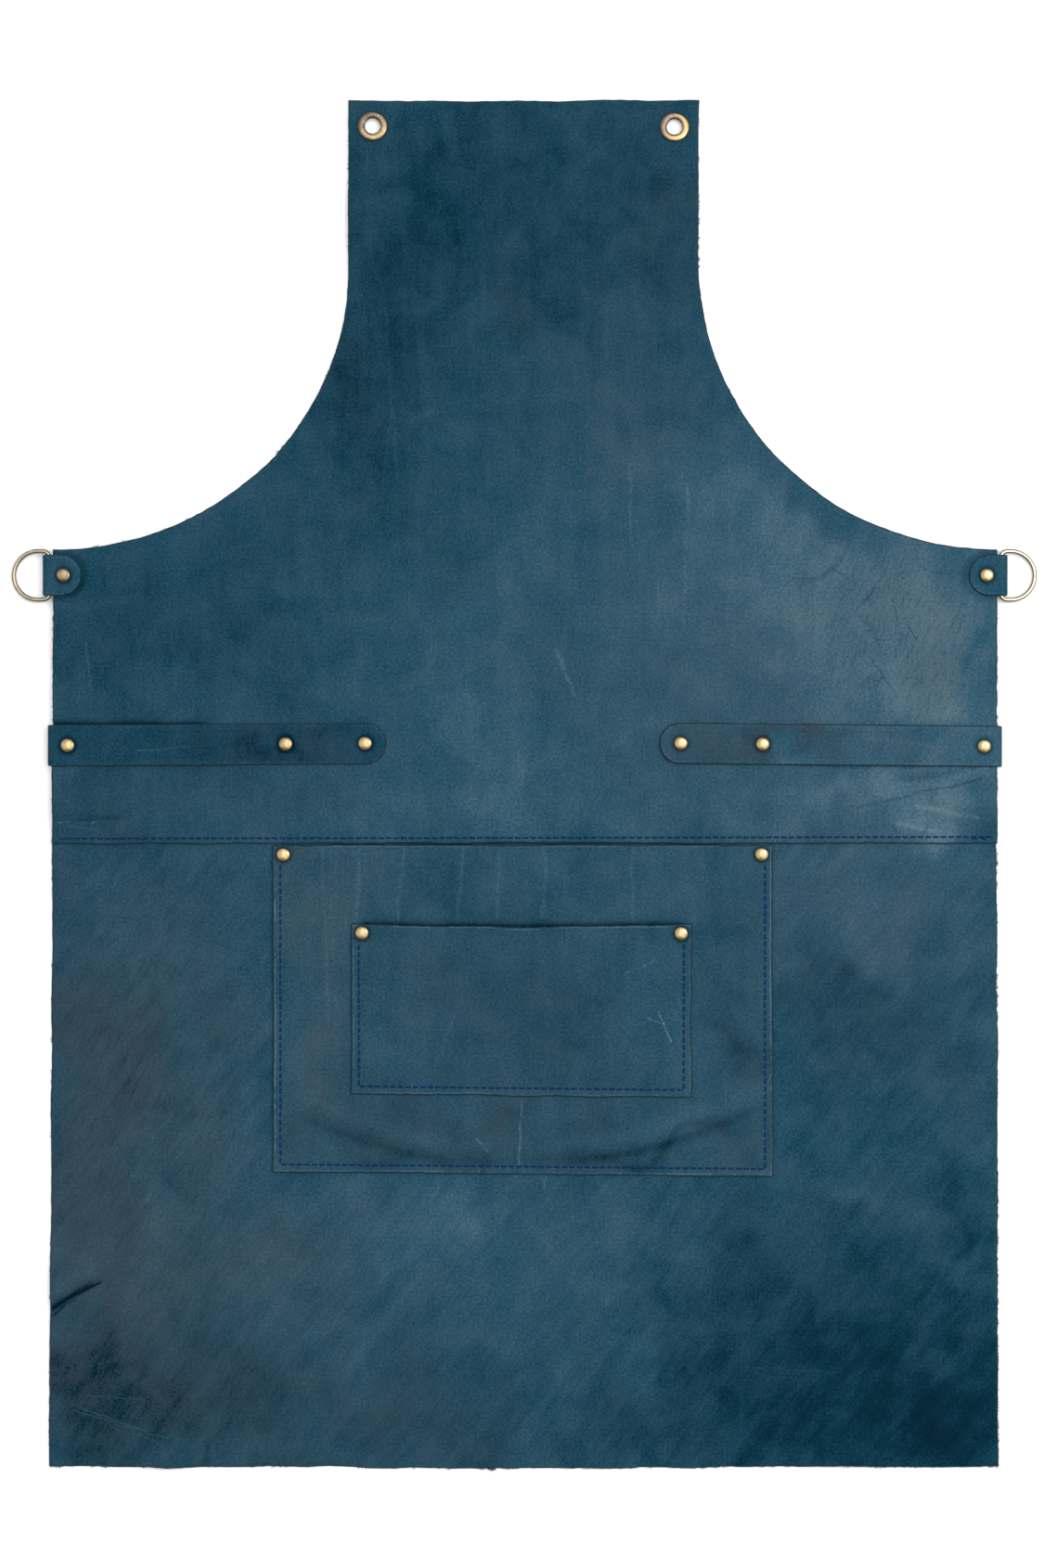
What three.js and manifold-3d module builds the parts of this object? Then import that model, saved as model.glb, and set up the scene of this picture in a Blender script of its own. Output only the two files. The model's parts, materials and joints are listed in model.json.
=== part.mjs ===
// Leather grill apron lying on its back, front side up.
// Millimetres. X runs across the apron, Y from the hem to the bib, Z up from the surface it lies on.
// The origin is the middle of the outline, on that surface.

import * as THREE from "three";
import { mergeVertices } from "three/addons/utils/BufferGeometryUtils.js";
import Module from "manifold-3d";

const wasm = await Module();
wasm.setup();

// Leather
const LEATHER = 1.8; // thickness of the panels, pockets, straps and tabs
const GAP = 0.3; // clearance between one layer and the next
const GRID = 24; // spacing of the lines that every sheet's surface is folded along

// Outline of the two panels, a row for each side, as distances from the middle line
const SIDES = {
  left: { sign: -1, bib: 111.1, waist: 297.5, hem: 300.5, armholeTop: 325.5 },
  right: { sign: 1, bib: 110.5, waist: 298.6, hem: 299.6, armholeTop: 328.4 },
};
const HALF_LENGTH = 432; // from the origin to the bib's top edge, and to the hem
const WAIST_Y = 148; // the corners where the armholes end
const SEAM_Y = -38; // lower edge of the upper panel
const LAP_Y = -24; // the lower panel runs on under the upper one to here
const LAP_FADE_Y = 0; // the upper panel is down on the surface again here

// Pockets: cut corners, how far the mouth stands open, and the curved fold its slack ends in
const POCKETS = {
  large: {
    left: -159, right: 157, top: -38.8, bottomLeft: -245.5, bottomRight: -248.5,
    gape: 6.5, foldMiddle: -238, foldSide: -200,
  },
  small: {
    left: -109.3, right: 105.5, top: -88.4, bottomLeft: -196, bottomRight: -198.4,
    gape: 6.2, foldMiddle: -190, foldSide: -186,
  },
};
const GAPE_POWER = 1.2; // how quickly a pocket's slack dies out towards its sewn sides

// Side straps, sewn to nothing: each is wrapped round the panel's edge and held by its rivets
const STRAP_WIDTH = 26;
const STRAP_ARCH = 1.2; // slack of a strap between two rivets
const STRAPS = {
  left: { tipX: -87.3, tipY: 25.4, foldY: 24, rivetX: [-100.6, -150.8, -288.3] },
  right: { tipX: 85.4, tipY: 25.5, foldY: 23.4, rivetX: [98.9, 150.6, 290.3] },
};
const STRAP_BACK = 26; // length of the end that is turned to the back

// Ring tabs, folded round the straight bar of a D-ring
const TAB_WIDTH = 26;
const TAB_Y = 131.5;
const TAB_REACH = 18; // from the panel's edge to the tab's round inner tip
const TAB_RIVET_INSET = 6.6; // from the panel's edge to the rivet
const TAB_LOOP_RADIUS = 2.5; // inside of the fold
const TAB_LOOP_OUT = 2.4; // centre of the fold beyond the panel's edge

// D-rings, bent from round wire with a butt joint in the bar
const WIRE_RADIUS = 1.4;
const RING_OUTER_X = 324.2; // outermost point of both rings
const RING_HALF_WIDTH = 15.35; // bar's middle to the wire's centre on the legs
const RING_CORNER = 4; // bend between the bar and a leg
const RING_BUTT = 0.4; // open joint of the wire, inside the tab
const RING_BAR_OUT = 2.5; // bar's centre beyond the panel's edge
const RING_BAR_DROP = 0.3; // bar's centre below the panel's middle, where it lies in the fold

// Rivets and eyelets
const RIVET = {
  capRadius: 4.6, capHeight: 1.8, postRadius: 1.5, holeRadius: 2, backRadius: 4.4, backHeight: 1.1,
};
const EYELETS = {
  left: { x: -95.9, y: 415.6 },
  right: { x: 94.9, y: 415 },
};
const EYELET = {
  holeRadius: 4.9, barrelRadius: 5.6, cutRadius: 6, flangeRadius: 9.5, flangeHeight: 1.4,
  crestInner: 6.4, crestOuter: 8.2, backRadius: 8.6, backHeight: 0.9,
};
const SEAT = 0.1; // clearance under a rivet's cap or an eyelet's flange

// How high the leather lies over what is under it: flat within `flat`, down on the surface beyond `reach`
const RIVET_REST = { height: RIVET.backHeight + 2 * SEAT, flat: 36, reach: 64 };
const EYELET_REST = { height: EYELET.backHeight + 2 * SEAT, flat: 40, reach: 84 };
const FOLD_LIFT = RIVET_REST.height + LEATHER + GAP; // a rivet's back cap and the leaf turned to the back
const STRAP_END_REST = { height: FOLD_LIFT, flat: 36, reach: 58 };
const TAB_REST = { height: FOLD_LIFT, flat: 46, reach: 84 };

// Soft ridges in the leather: middle, direction of the crest in degrees, half length, half width, height
const RIDGES = [
  { name: "bib edge", x: -111, y: 352, turn: 90, length: 44, width: 24, height: 2.6 },
  { name: "hem flute left", x: -229, y: -432, turn: 78, length: 70, width: 26, height: 2.6 },
  { name: "hem flute right", x: 205, y: -432, turn: 104, length: 90, width: 34, height: 1.8 },
  { name: "skirt edge left", x: -298, y: -318, turn: 32, length: 60, width: 26, height: 2.4 },
  { name: "skirt edge right", x: 300, y: -170, turn: 160, length: 80, width: 36, height: 1.8 },
  { name: "chest", x: 30, y: 235, turn: 62, length: 120, width: 40, height: 1.2 },
];

// Colours from the photograph
const LEATHER_BLUE = new THREE.MeshStandardMaterial({ color: 0x2b4c5d, roughness: 0.6, metalness: 0 });
const POCKET_BLUE = new THREE.MeshStandardMaterial({ color: 0x355162, roughness: 0.6, metalness: 0 });
const STRAP_BLUE = new THREE.MeshStandardMaterial({ color: 0x2e4e5f, roughness: 0.6, metalness: 0 });
const OLD_BRASS = new THREE.MeshStandardMaterial({ color: 0x8a7a5c, roughness: 0.38, metalness: 1 });

const smoothStep = (t) => THREE.MathUtils.smoothstep(t, 0, 1);

// Where the panel's side edge runs at height y, from the waist corner down to the hem
function edgeX(side, y) {
  const t = (WAIST_Y - y) / (WAIST_Y + HALF_LENGTH);
  return side.sign * THREE.MathUtils.lerp(side.waist, side.hem, t);
}

// Rivets: name, place and the stack of layers that each one holds
function rivetList() {
  const rivets = [];
  for (const [sideName, side] of Object.entries(SIDES)) {
    const strap = STRAPS[sideName];
    const tabX = edgeX(side, TAB_Y) - side.sign * TAB_RIVET_INSET;
    rivets.push({ name: `rivet_tab_${sideName}`, x: tabX, y: TAB_Y, stack: "tab" });
    const names = ["inner", "middle", "outer"];
    const stacks = ["strap", "strap", "strapEnd"];
    strap.rivetX.forEach((x, i) => {
      const name = `rivet_strap_${sideName}_${names[i]}`;
      rivets.push({ name, x, y: strapCentreY(sideName, x), stack: stacks[i] });
    });
  }
  rivets.push({ name: "rivet_large_pocket_left", x: -152.2, y: -45, stack: "largePocket" });
  rivets.push({ name: "rivet_large_pocket_right", x: 149.9, y: -44.8, stack: "largePocket" });
  rivets.push({ name: "rivet_small_pocket_left", x: -102.4, y: -94.3, stack: "smallPocket" });
  rivets.push({ name: "rivet_small_pocket_right", x: 98.9, y: -94.6, stack: "smallPocket" });
  return rivets;
}

// A strap lies slightly askew, so its middle line shifts from the fold to the tip
function strapCentreY(sideName, x) {
  const strap = STRAPS[sideName];
  const foldX = SIDES[sideName].sign * SIDES[sideName].waist;
  return THREE.MathUtils.lerp(strap.tipY, strap.foldY, (x - strap.tipX) / (foldX - strap.tipX));
}

const RIVETS = rivetList();

// What each stack of layers does to the panel behind it; a small pocket's rivets end inside the large pocket
const STACK_RESTS = { tab: TAB_REST, strapEnd: STRAP_END_REST, strap: RIVET_REST, largePocket: RIVET_REST };

// Everything hard under the leather that lifts it off the surface
function restPoints() {
  const points = Object.values(EYELETS).map((eyelet) => ({ ...eyelet, ...EYELET_REST }));
  for (const rivet of RIVETS) {
    const rest = STACK_RESTS[rivet.stack];
    if (rest) {
      points.push({ x: rivet.x, y: rivet.y, ...rest });
    }
  }
  return points;
}

const RESTS = restPoints();

function restHeight(x, y) {
  let height = 0;
  for (const rest of RESTS) {
    const distance = Math.hypot(x - rest.x, y - rest.y);
    const fall = smoothStep((rest.reach - distance) / (rest.reach - rest.flat));
    height = Math.max(height, rest.height * fall);
  }
  return height;
}

function ridgeHeight(x, y) {
  let height = 0;
  for (const ridge of RIDGES) {
    const turn = THREE.MathUtils.degToRad(ridge.turn);
    const along = (x - ridge.x) * Math.cos(turn) + (y - ridge.y) * Math.sin(turn);
    const across = (y - ridge.y) * Math.cos(turn) - (x - ridge.x) * Math.sin(turn);
    const window = smoothStep(1 - Math.abs(along) / ridge.length);
    height += ridge.height * window * smoothStep(1 - Math.abs(across) / ridge.width);
  }
  return height;
}

// Underside of the leather that touches the surface
function lay(x, y) {
  return restHeight(x, y) + ridgeHeight(x, y);
}

// How far a pocket's front leaf stands off what is behind it
function gape(pocket, x, y) {
  const middle = (pocket.left + pocket.right) / 2;
  const across = Math.min(1, Math.abs((x - middle) / (pocket.right - middle)));
  const fold = THREE.MathUtils.lerp(pocket.foldMiddle, pocket.foldSide, across * across);
  const up = THREE.MathUtils.clamp((y - fold) / (pocket.top - fold), 0, 1);
  return pocket.gape * Math.pow(1 - across * across, GAPE_POWER) * up * (2 - up);
}

// A strap's slack between its outer and middle rivets
function strapSlack(sideName, x) {
  const [, middleX, outerX] = STRAPS[sideName].rivetX;
  const t = (x - middleX) / (outerX - middleX);
  if (t <= 0 || t >= 1) {
    return 0;
  }
  return STRAP_ARCH * Math.sin(Math.PI * t) ** 2;
}

// Undersides of the sheets, each worked out from the one below it
const under = {
  lower: lay,
  upper: (x, y) => lay(x, y) + (LEATHER + GAP) * smoothStep((LAP_FADE_Y - y) / (LAP_FADE_Y - LAP_Y)),
  large: (x, y) => under.lower(x, y) + LEATHER + GAP + gape(POCKETS.large, x, y),
  small: (x, y) => under.large(x, y) + LEATHER + GAP + gape(POCKETS.small, x, y),
  strap: (x, y) => under.upper(x, y) + LEATHER + GAP,
};

// Height of a sheet's folded surface at a point: flat triangles between the grid's corners
function onGrid(height, x, y) {
  const x0 = Math.floor(x / GRID) * GRID;
  const y0 = Math.floor(y / GRID) * GRID;
  const u = (x - x0) / GRID;
  const v = (y - y0) / GRID;
  const near = height(x0, y0);
  const far = height(x0 + GRID, y0 + GRID);
  if (u >= v) {
    const side = height(x0 + GRID, y0);
    return near + u * (side - near) + v * (far - side);
  }
  const side = height(x0, y0 + GRID);
  return near + v * (side - near) + u * (far - side);
}

// Highest or lowest point of a sheet's surface around a round seat
function seatHeight(height, x, y, radius, pick) {
  const samples = [onGrid(height, x, y)];
  const count = 12;
  for (let i = 0; i < count; i++) {
    const angle = (2 * Math.PI * i) / count;
    samples.push(onGrid(height, x + radius * Math.cos(angle), y + radius * Math.sin(angle)));
  }
  return pick(...samples);
}

// Solids for joining and cutting
function toSolid(geometry) {
  geometry.deleteAttribute("normal");
  geometry.deleteAttribute("uv");
  const merged = mergeVertices(geometry, 1e-4);
  const vertProperties = Float32Array.from(merged.attributes.position.array);
  const triVerts = Uint32Array.from(merged.index.array);
  return new wasm.Manifold(new wasm.Mesh({ numProp: 3, vertProperties, triVerts }));
}

function toGeometry(solid) {
  const mesh = solid.getMesh();
  const geometry = new THREE.BufferGeometry();
  geometry.setAttribute("position", new THREE.BufferAttribute(Float32Array.from(mesh.vertProperties), 3));
  geometry.setIndex(new THREE.BufferAttribute(Uint32Array.from(mesh.triVerts), 1));
  geometry.computeVertexNormals();
  return geometry;
}

// A folded slab of leather over a block of the grid, before its outline is cut
function slab(underside, low, high) {
  const column0 = Math.floor(low.x / GRID);
  const row0 = Math.floor(low.y / GRID);
  const columns = Math.ceil(high.x / GRID) - column0 + 1;
  const rows = Math.ceil(high.y / GRID) - row0 + 1;
  const positions = [];
  for (const lift of [0, LEATHER]) {
    for (let row = 0; row < rows; row++) {
      for (let column = 0; column < columns; column++) {
        const x = (column0 + column) * GRID;
        const y = (row0 + row) * GRID;
        positions.push(x, y, underside(x, y) + lift);
      }
    }
  }
  const layer = rows * columns;
  const corner = (column, row, level) => level * layer + row * columns + column;
  const faces = [];
  for (let row = 0; row + 1 < rows; row++) {
    for (let column = 0; column + 1 < columns; column++) {
      for (const level of [0, 1]) {
        const a = corner(column, row, level);
        const b = corner(column + 1, row, level);
        const c = corner(column + 1, row + 1, level);
        const d = corner(column, row + 1, level);
        faces.push(...(level === 1 ? [a, b, c, a, c, d] : [a, c, b, a, d, c]));
      }
    }
  }
  const rim = [];
  for (let column = 0; column + 1 < columns; column++) {
    rim.push([column, 0]);
  }
  for (let row = 0; row + 1 < rows; row++) {
    rim.push([columns - 1, row]);
  }
  for (let column = columns - 1; column > 0; column--) {
    rim.push([column, rows - 1]);
  }
  for (let row = rows - 1; row > 0; row--) {
    rim.push([0, row]);
  }
  rim.forEach(([column, row], i) => {
    const [nextColumn, nextRow] = rim[(i + 1) % rim.length];
    const a = corner(column, row, 0);
    const b = corner(nextColumn, nextRow, 0);
    const c = corner(nextColumn, nextRow, 1);
    const d = corner(column, row, 1);
    faces.push(a, b, c, a, c, d);
  });
  const geometry = new THREE.BufferGeometry();
  geometry.setAttribute("position", new THREE.BufferAttribute(Float32Array.from(positions), 3));
  geometry.setIndex(faces);
  return toSolid(geometry);
}

const CUT_DEPTH = 60; // an outline's cutter runs this far, from below the surface to above every layer

// An outline on the surface, as a solid tall enough to cut any layer, with `sides` flats to each of its arcs
function cutter(outline, sides) {
  const curveSegments = sides / 2;
  const options = { depth: CUT_DEPTH, bevelEnabled: false, curveSegments };
  const geometry = new THREE.ExtrudeGeometry(outline, options);
  return toSolid(geometry.translate(0, 0, -CUT_DEPTH / 2));
}

const HOLE_SIDES = 12;

function punch(solid, holes) {
  let result = solid;
  for (const hole of holes) {
    const disc = new THREE.Shape().absarc(hole.x, hole.y, hole.radius, 0, 2 * Math.PI, false);
    result = result.subtract(cutter(disc, HOLE_SIDES));
  }
  return result;
}

// Rivet holes through one layer, named by the stacks that pass through it
function rivetHoles(...stacks) {
  return RIVETS.filter((rivet) => stacks.includes(rivet.stack))
    .map((rivet) => ({ x: rivet.x, y: rivet.y, radius: RIVET.holeRadius }));
}

const ARMHOLE_SIDES = 24;

// A sheet of leather: its folded slab, cut to its outline
function sheet(underside, outline) {
  const bounds = new THREE.Box2().setFromPoints(outline.getPoints());
  return slab(underside, bounds.min, bounds.max).intersect(cutter(outline, ARMHOLE_SIDES));
}

// Upper panel: bib, armholes as quarter ellipses, and waist
function upperOutline() {
  const { left, right } = SIDES;
  const outline = new THREE.Shape();
  outline.moveTo(edgeX(left, SEAM_Y), SEAM_Y);
  outline.lineTo(edgeX(right, SEAM_Y), SEAM_Y);
  outline.lineTo(right.waist, WAIST_Y);
  const rightRun = right.waist - right.bib;
  const rightRise = right.armholeTop - WAIST_Y;
  outline.absellipse(right.waist, right.armholeTop, rightRun, rightRise, -Math.PI / 2, -Math.PI, true);
  outline.lineTo(right.bib, HALF_LENGTH);
  outline.lineTo(-left.bib, HALF_LENGTH);
  outline.lineTo(-left.bib, left.armholeTop);
  const leftRun = left.waist - left.bib;
  const leftRise = left.armholeTop - WAIST_Y;
  outline.absellipse(-left.waist, left.armholeTop, leftRun, leftRise, 0, -Math.PI / 2, true);
  outline.closePath();
  return outline;
}

function lowerOutline() {
  const { left, right } = SIDES;
  const outline = new THREE.Shape();
  outline.moveTo(-left.hem, -HALF_LENGTH);
  outline.lineTo(right.hem, -HALF_LENGTH);
  outline.lineTo(edgeX(right, LAP_Y), LAP_Y);
  outline.lineTo(edgeX(left, LAP_Y), LAP_Y);
  outline.closePath();
  return outline;
}

function pocketOutline(pocket) {
  const outline = new THREE.Shape();
  outline.moveTo(pocket.left, pocket.bottomLeft);
  outline.lineTo(pocket.right, pocket.bottomRight);
  outline.lineTo(pocket.right, pocket.top);
  outline.lineTo(pocket.left, pocket.top);
  outline.closePath();
  return outline;
}

// A strap or tab seen from above: straight from its fold, with a round tip
function tongueOutline(foldX, foldY, tipX, tipY, width) {
  const radius = width / 2;
  const inward = Math.sign(tipX - foldX);
  const centreX = tipX - inward * radius;
  const outline = new THREE.Shape();
  outline.moveTo(foldX, foldY - radius);
  outline.lineTo(centreX, tipY - radius);
  outline.absarc(centreX, tipY, radius, -Math.PI / 2, Math.PI / 2, inward < 0);
  outline.lineTo(foldX, foldY + radius);
  outline.closePath();
  return outline;
}

const FOLD_MIDDLE_Z = FOLD_LIFT + LEATHER / 2; // middle of the panel where an end is folded round it
const LEAF_OFFSET = LEATHER / 2 + GAP; // from there to the inside of a folded end's two leaves
const FOLD_TRIM = 12; // a folded end's outline is cut this far outside the panel's edge, clear of its fold
const TIP_SIDES = 12;
const STRAP_SECTION = GRID / 2; // spacing of the sections along a strap

// Section of a leather end folded round the panel's edge, as [distance outside the edge, height] pairs.
// `front` is the underside of its front leaf, from the tip to the edge.
function foldSection(front, insideRadius, foldOut, backReach) {
  const steps = 8;
  const arc = (radius, from, to) => {
    const points = [];
    for (let i = 0; i <= steps; i++) {
      const angle = THREE.MathUtils.lerp(from, to, i / steps);
      points.push([foldOut + radius * Math.cos(angle), FOLD_MIDDLE_Z + radius * Math.sin(angle)]);
    }
    return points;
  };
  const points = [
    ...front,
    ...arc(insideRadius, Math.PI / 2, -Math.PI / 2),
    [0, FOLD_MIDDLE_Z - LEAF_OFFSET],
    [-backReach, FOLD_MIDDLE_Z - LEAF_OFFSET],
    [-backReach, FOLD_MIDDLE_Z - LEAF_OFFSET - LEATHER],
    [0, FOLD_MIDDLE_Z - LEAF_OFFSET - LEATHER],
    ...arc(insideRadius + LEATHER, -Math.PI / 2, Math.PI / 2),
    ...front.map(([out, z]) => [out, z + LEATHER]).reverse(),
  ];
  const apart = (a, b) => Math.hypot(a[0] - b[0], a[1] - b[1]) > 1e-6;
  return points.filter((point, i) => i === 0 || apart(point, points[i - 1]));
}

// The folded end as a solid: its section drawn along the panel's edge
function foldedEnd(side, y, width, section) {
  const edge = edgeX(side, y);
  const shape = new THREE.Shape(section.map(([out, z]) => new THREE.Vector2(edge + side.sign * out, z)));
  const geometry = new THREE.ExtrudeGeometry(shape, { depth: width, bevelEnabled: false });
  geometry.rotateX(Math.PI / 2);
  geometry.translate(0, y + width / 2, 0);
  return toSolid(geometry);
}

// Underside of a strap's front leaf: it lies on the highest line of the panel under its width
function strapFront(sideName) {
  const side = SIDES[sideName];
  const strap = STRAPS[sideName];
  const edge = edgeX(side, strap.foldY);
  const reach = Math.abs(edge - strap.tipX);
  const count = Math.ceil(reach / STRAP_SECTION);
  const front = [];
  for (let i = count; i >= 0; i--) {
    const out = (-reach * i) / count;
    const x = edge + side.sign * out;
    const panel = seatHeight(under.upper, x, strapCentreY(sideName, x), STRAP_WIDTH / 2, Math.max);
    front.push([out, panel + LEATHER + GAP + strapSlack(sideName, x)]);
  }
  return front;
}

function sideStrap(sideName) {
  const side = SIDES[sideName];
  const strap = STRAPS[sideName];
  const edge = edgeX(side, strap.foldY);
  const section = foldSection(strapFront(sideName), LEAF_OFFSET, 0, STRAP_BACK);
  const outer = edge + side.sign * FOLD_TRIM;
  const outline = tongueOutline(outer, strap.foldY, strap.tipX, strap.tipY, STRAP_WIDTH);
  const solid = foldedEnd(side, strap.foldY, 2 * STRAP_WIDTH, section).intersect(cutter(outline, TIP_SIDES));
  return punch(solid, rivetHoles("strap", "strapEnd"));
}

function ringTab(side) {
  const edge = edgeX(side, TAB_Y);
  const front = [-TAB_REACH, 0].map((out) => [out, FOLD_MIDDLE_Z + LEAF_OFFSET]);
  const section = foldSection(front, TAB_LOOP_RADIUS, TAB_LOOP_OUT, TAB_REACH);
  const outer = edge + side.sign * FOLD_TRIM;
  const tip = edge - side.sign * TAB_REACH;
  const outline = tongueOutline(outer, TAB_Y, tip, TAB_Y, TAB_WIDTH);
  const solid = foldedEnd(side, TAB_Y, 2 * TAB_WIDTH, section).intersect(cutter(outline, TIP_SIDES));
  return punch(solid, rivetHoles("tab"));
}

// A D-ring in its own plane: the bar on the Y axis, the bow towards +X
function ringPath(bowCentre) {
  const legY = RING_HALF_WIDTH;
  const barEnd = RING_HALF_WIDTH - RING_CORNER;
  const flat = (x, y) => new THREE.Vector3(x, y, 0);
  const line = (from, to) => new THREE.LineCurve3(from, to);
  const bend = (x, y, radius, from, to) => {
    const arc = new THREE.EllipseCurve(x, y, radius, radius, from, to, to < from);
    return new ArcInPlane(arc);
  };
  const path = new THREE.CurvePath();
  path.add(line(flat(0, -RING_BUTT / 2), flat(0, -barEnd)));
  path.add(bend(RING_CORNER, -barEnd, RING_CORNER, Math.PI, 1.5 * Math.PI));
  path.add(line(flat(RING_CORNER, -legY), flat(bowCentre, -legY)));
  path.add(bend(bowCentre, 0, legY, -Math.PI / 2, Math.PI / 2));
  path.add(line(flat(bowCentre, legY), flat(RING_CORNER, legY)));
  path.add(bend(RING_CORNER, barEnd, RING_CORNER, Math.PI / 2, Math.PI));
  path.add(line(flat(0, barEnd), flat(0, RING_BUTT / 2)));
  return path;
}

// A flat arc as a curve in space
class ArcInPlane extends THREE.Curve {
  constructor(arc) {
    super();
    this.arc = arc;
  }

  getPoint(t, target = new THREE.Vector3()) {
    const point = this.arc.getPoint(t);
    return target.set(point.x, point.y, 0);
  }
}

const RING_STEPS = 40;
const WIRE_SIDES = 8;

// The ring hangs in its tab and its bow lies on the surface
function dRing(side) {
  const barX = Math.abs(edgeX(side, TAB_Y)) + RING_BAR_OUT;
  const barZ = FOLD_MIDDLE_Z - RING_BAR_DROP;
  const drop = barZ - WIRE_RADIUS;
  const reach = Math.sqrt((RING_OUTER_X - WIRE_RADIUS - barX) ** 2 + drop ** 2);
  const wire = new THREE.Shape();
  for (let i = 0; i < WIRE_SIDES; i++) {
    const angle = (2 * Math.PI * (i + 0.5)) / WIRE_SIDES;
    const point = [WIRE_RADIUS * Math.cos(angle), WIRE_RADIUS * Math.sin(angle)];
    wire[i === 0 ? "moveTo" : "lineTo"](...point);
  }
  wire.closePath();
  const geometry = new THREE.ExtrudeGeometry(wire, {
    steps: RING_STEPS, bevelEnabled: false, extrudePath: ringPath(reach - RING_HALF_WIDTH),
  });
  geometry.deleteAttribute("normal");
  geometry.deleteAttribute("uv");
  geometry.rotateY(Math.asin(drop / reach));
  if (side.sign < 0) {
    geometry.rotateZ(Math.PI);
  }
  geometry.translate(side.sign * barX, TAB_Y, barZ);
  return mergeVertices(geometry, 1e-4);
}

// A solid of revolution about the Z axis from [radius, height] pairs
function turned(profile, sides) {
  const points = profile.map(([radius, z]) => new THREE.Vector2(radius, z));
  const geometry = new THREE.LatheGeometry(points, sides);
  geometry.rotateX(Math.PI / 2);
  geometry.deleteAttribute("normal");
  geometry.deleteAttribute("uv");
  return mergeVertices(geometry, 1e-4);
}

// Undersides of the front and back layer in each stack that a rivet holds
const STACKS = {
  tab: { front: () => FOLD_MIDDLE_Z + LEATHER / 2 + GAP, back: () => RIVET_REST.height },
  strapEnd: { front: under.strap, back: () => RIVET_REST.height },
  strap: { front: under.strap, back: under.upper },
  largePocket: { front: under.large, back: under.lower },
  smallPocket: { front: under.small, back: under.large },
};

const RIVET_SIDES = 12;

// A tubular rivet: domed cap in front, post through the layers, plain flat cap behind
function rivetGeometry(rivet) {
  const { capRadius, capHeight, postRadius, backRadius, backHeight } = RIVET;
  const stack = STACKS[rivet.stack];
  const front = seatHeight(stack.front, rivet.x, rivet.y, capRadius, Math.max) + LEATHER + SEAT;
  const back = seatHeight(stack.back, rivet.x, rivet.y, backRadius, Math.min) - SEAT;
  const profile = [
    [0, back - backHeight],
    [backRadius, back - backHeight],
    [backRadius, back],
    [postRadius, back],
    [postRadius, front],
    [capRadius, front],
    [capRadius, front + capHeight * 0.25],
    [capRadius * 0.65, front + capHeight * 0.85],
    [0, front + capHeight],
  ];
  return turned(profile, RIVET_SIDES).translate(rivet.x, rivet.y, 0);
}

const EYELET_SIDES = 20;

// A rolled eyelet: flange with a flat crest in front, barrel through the bib, plain flange behind
function eyeletGeometry({ x, y }) {
  const front = seatHeight(under.upper, x, y, EYELET.flangeRadius, Math.max) + LEATHER + SEAT;
  const back = seatHeight(under.upper, x, y, EYELET.backRadius, Math.min) - SEAT;
  const crest = front + EYELET.flangeHeight;
  const profile = [
    [EYELET.holeRadius, back - EYELET.backHeight],
    [EYELET.backRadius, back - EYELET.backHeight],
    [EYELET.backRadius, back],
    [EYELET.barrelRadius, back],
    [EYELET.barrelRadius, front],
    [EYELET.flangeRadius, front],
    [EYELET.flangeRadius, front + EYELET.flangeHeight * 0.35],
    [EYELET.crestOuter, crest],
    [EYELET.crestInner, crest],
    [EYELET.holeRadius, front + EYELET.flangeHeight * 0.35],
    [EYELET.holeRadius, back - EYELET.backHeight],
  ];
  return turned(profile, EYELET_SIDES).translate(x, y, 0);
}

// The apron, a mesh for each piece
const apron = new THREE.Group();

function addPiece(name, geometry, material) {
  const mesh = new THREE.Mesh(geometry, material);
  mesh.name = name;
  apron.add(mesh);
}

const upperHoles = rivetHoles("tab", "strap", "strapEnd");
for (const eyelet of Object.values(EYELETS)) {
  upperHoles.push({ ...eyelet, radius: EYELET.cutRadius });
}
addPiece("upper_panel", toGeometry(punch(sheet(under.upper, upperOutline()), upperHoles)), LEATHER_BLUE);
const lower = punch(sheet(under.lower, lowerOutline()), rivetHoles("largePocket"));
addPiece("lower_panel", toGeometry(lower), LEATHER_BLUE);
const largeHoles = rivetHoles("largePocket", "smallPocket");
const large = punch(sheet(under.large, pocketOutline(POCKETS.large)), largeHoles);
addPiece("large_pocket", toGeometry(large), POCKET_BLUE);
const small = punch(sheet(under.small, pocketOutline(POCKETS.small)), rivetHoles("smallPocket"));
addPiece("small_pocket", toGeometry(small), POCKET_BLUE);
for (const [sideName, side] of Object.entries(SIDES)) {
  addPiece(`side_strap_${sideName}`, toGeometry(sideStrap(sideName)), STRAP_BLUE);
  addPiece(`ring_tab_${sideName}`, toGeometry(ringTab(side)), STRAP_BLUE);
  addPiece(`d_ring_${sideName}`, dRing(side), OLD_BRASS);
  addPiece(`eyelet_${sideName}`, eyeletGeometry(EYELETS[sideName]), OLD_BRASS);
}
for (const rivet of RIVETS) {
  addPiece(rivet.name, rivetGeometry(rivet), OLD_BRASS);
}

export default apron;
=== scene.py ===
# %% [markdown]
# This lesson dresses a leather grill apron that lies on its back on a white table, seen from straight above.
# The frame already holds every piece at its real size, so the lesson starts by loading it. What follows is
# placed by the frame's own boxes and joints.

import json
import math
from functools import partial

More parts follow.
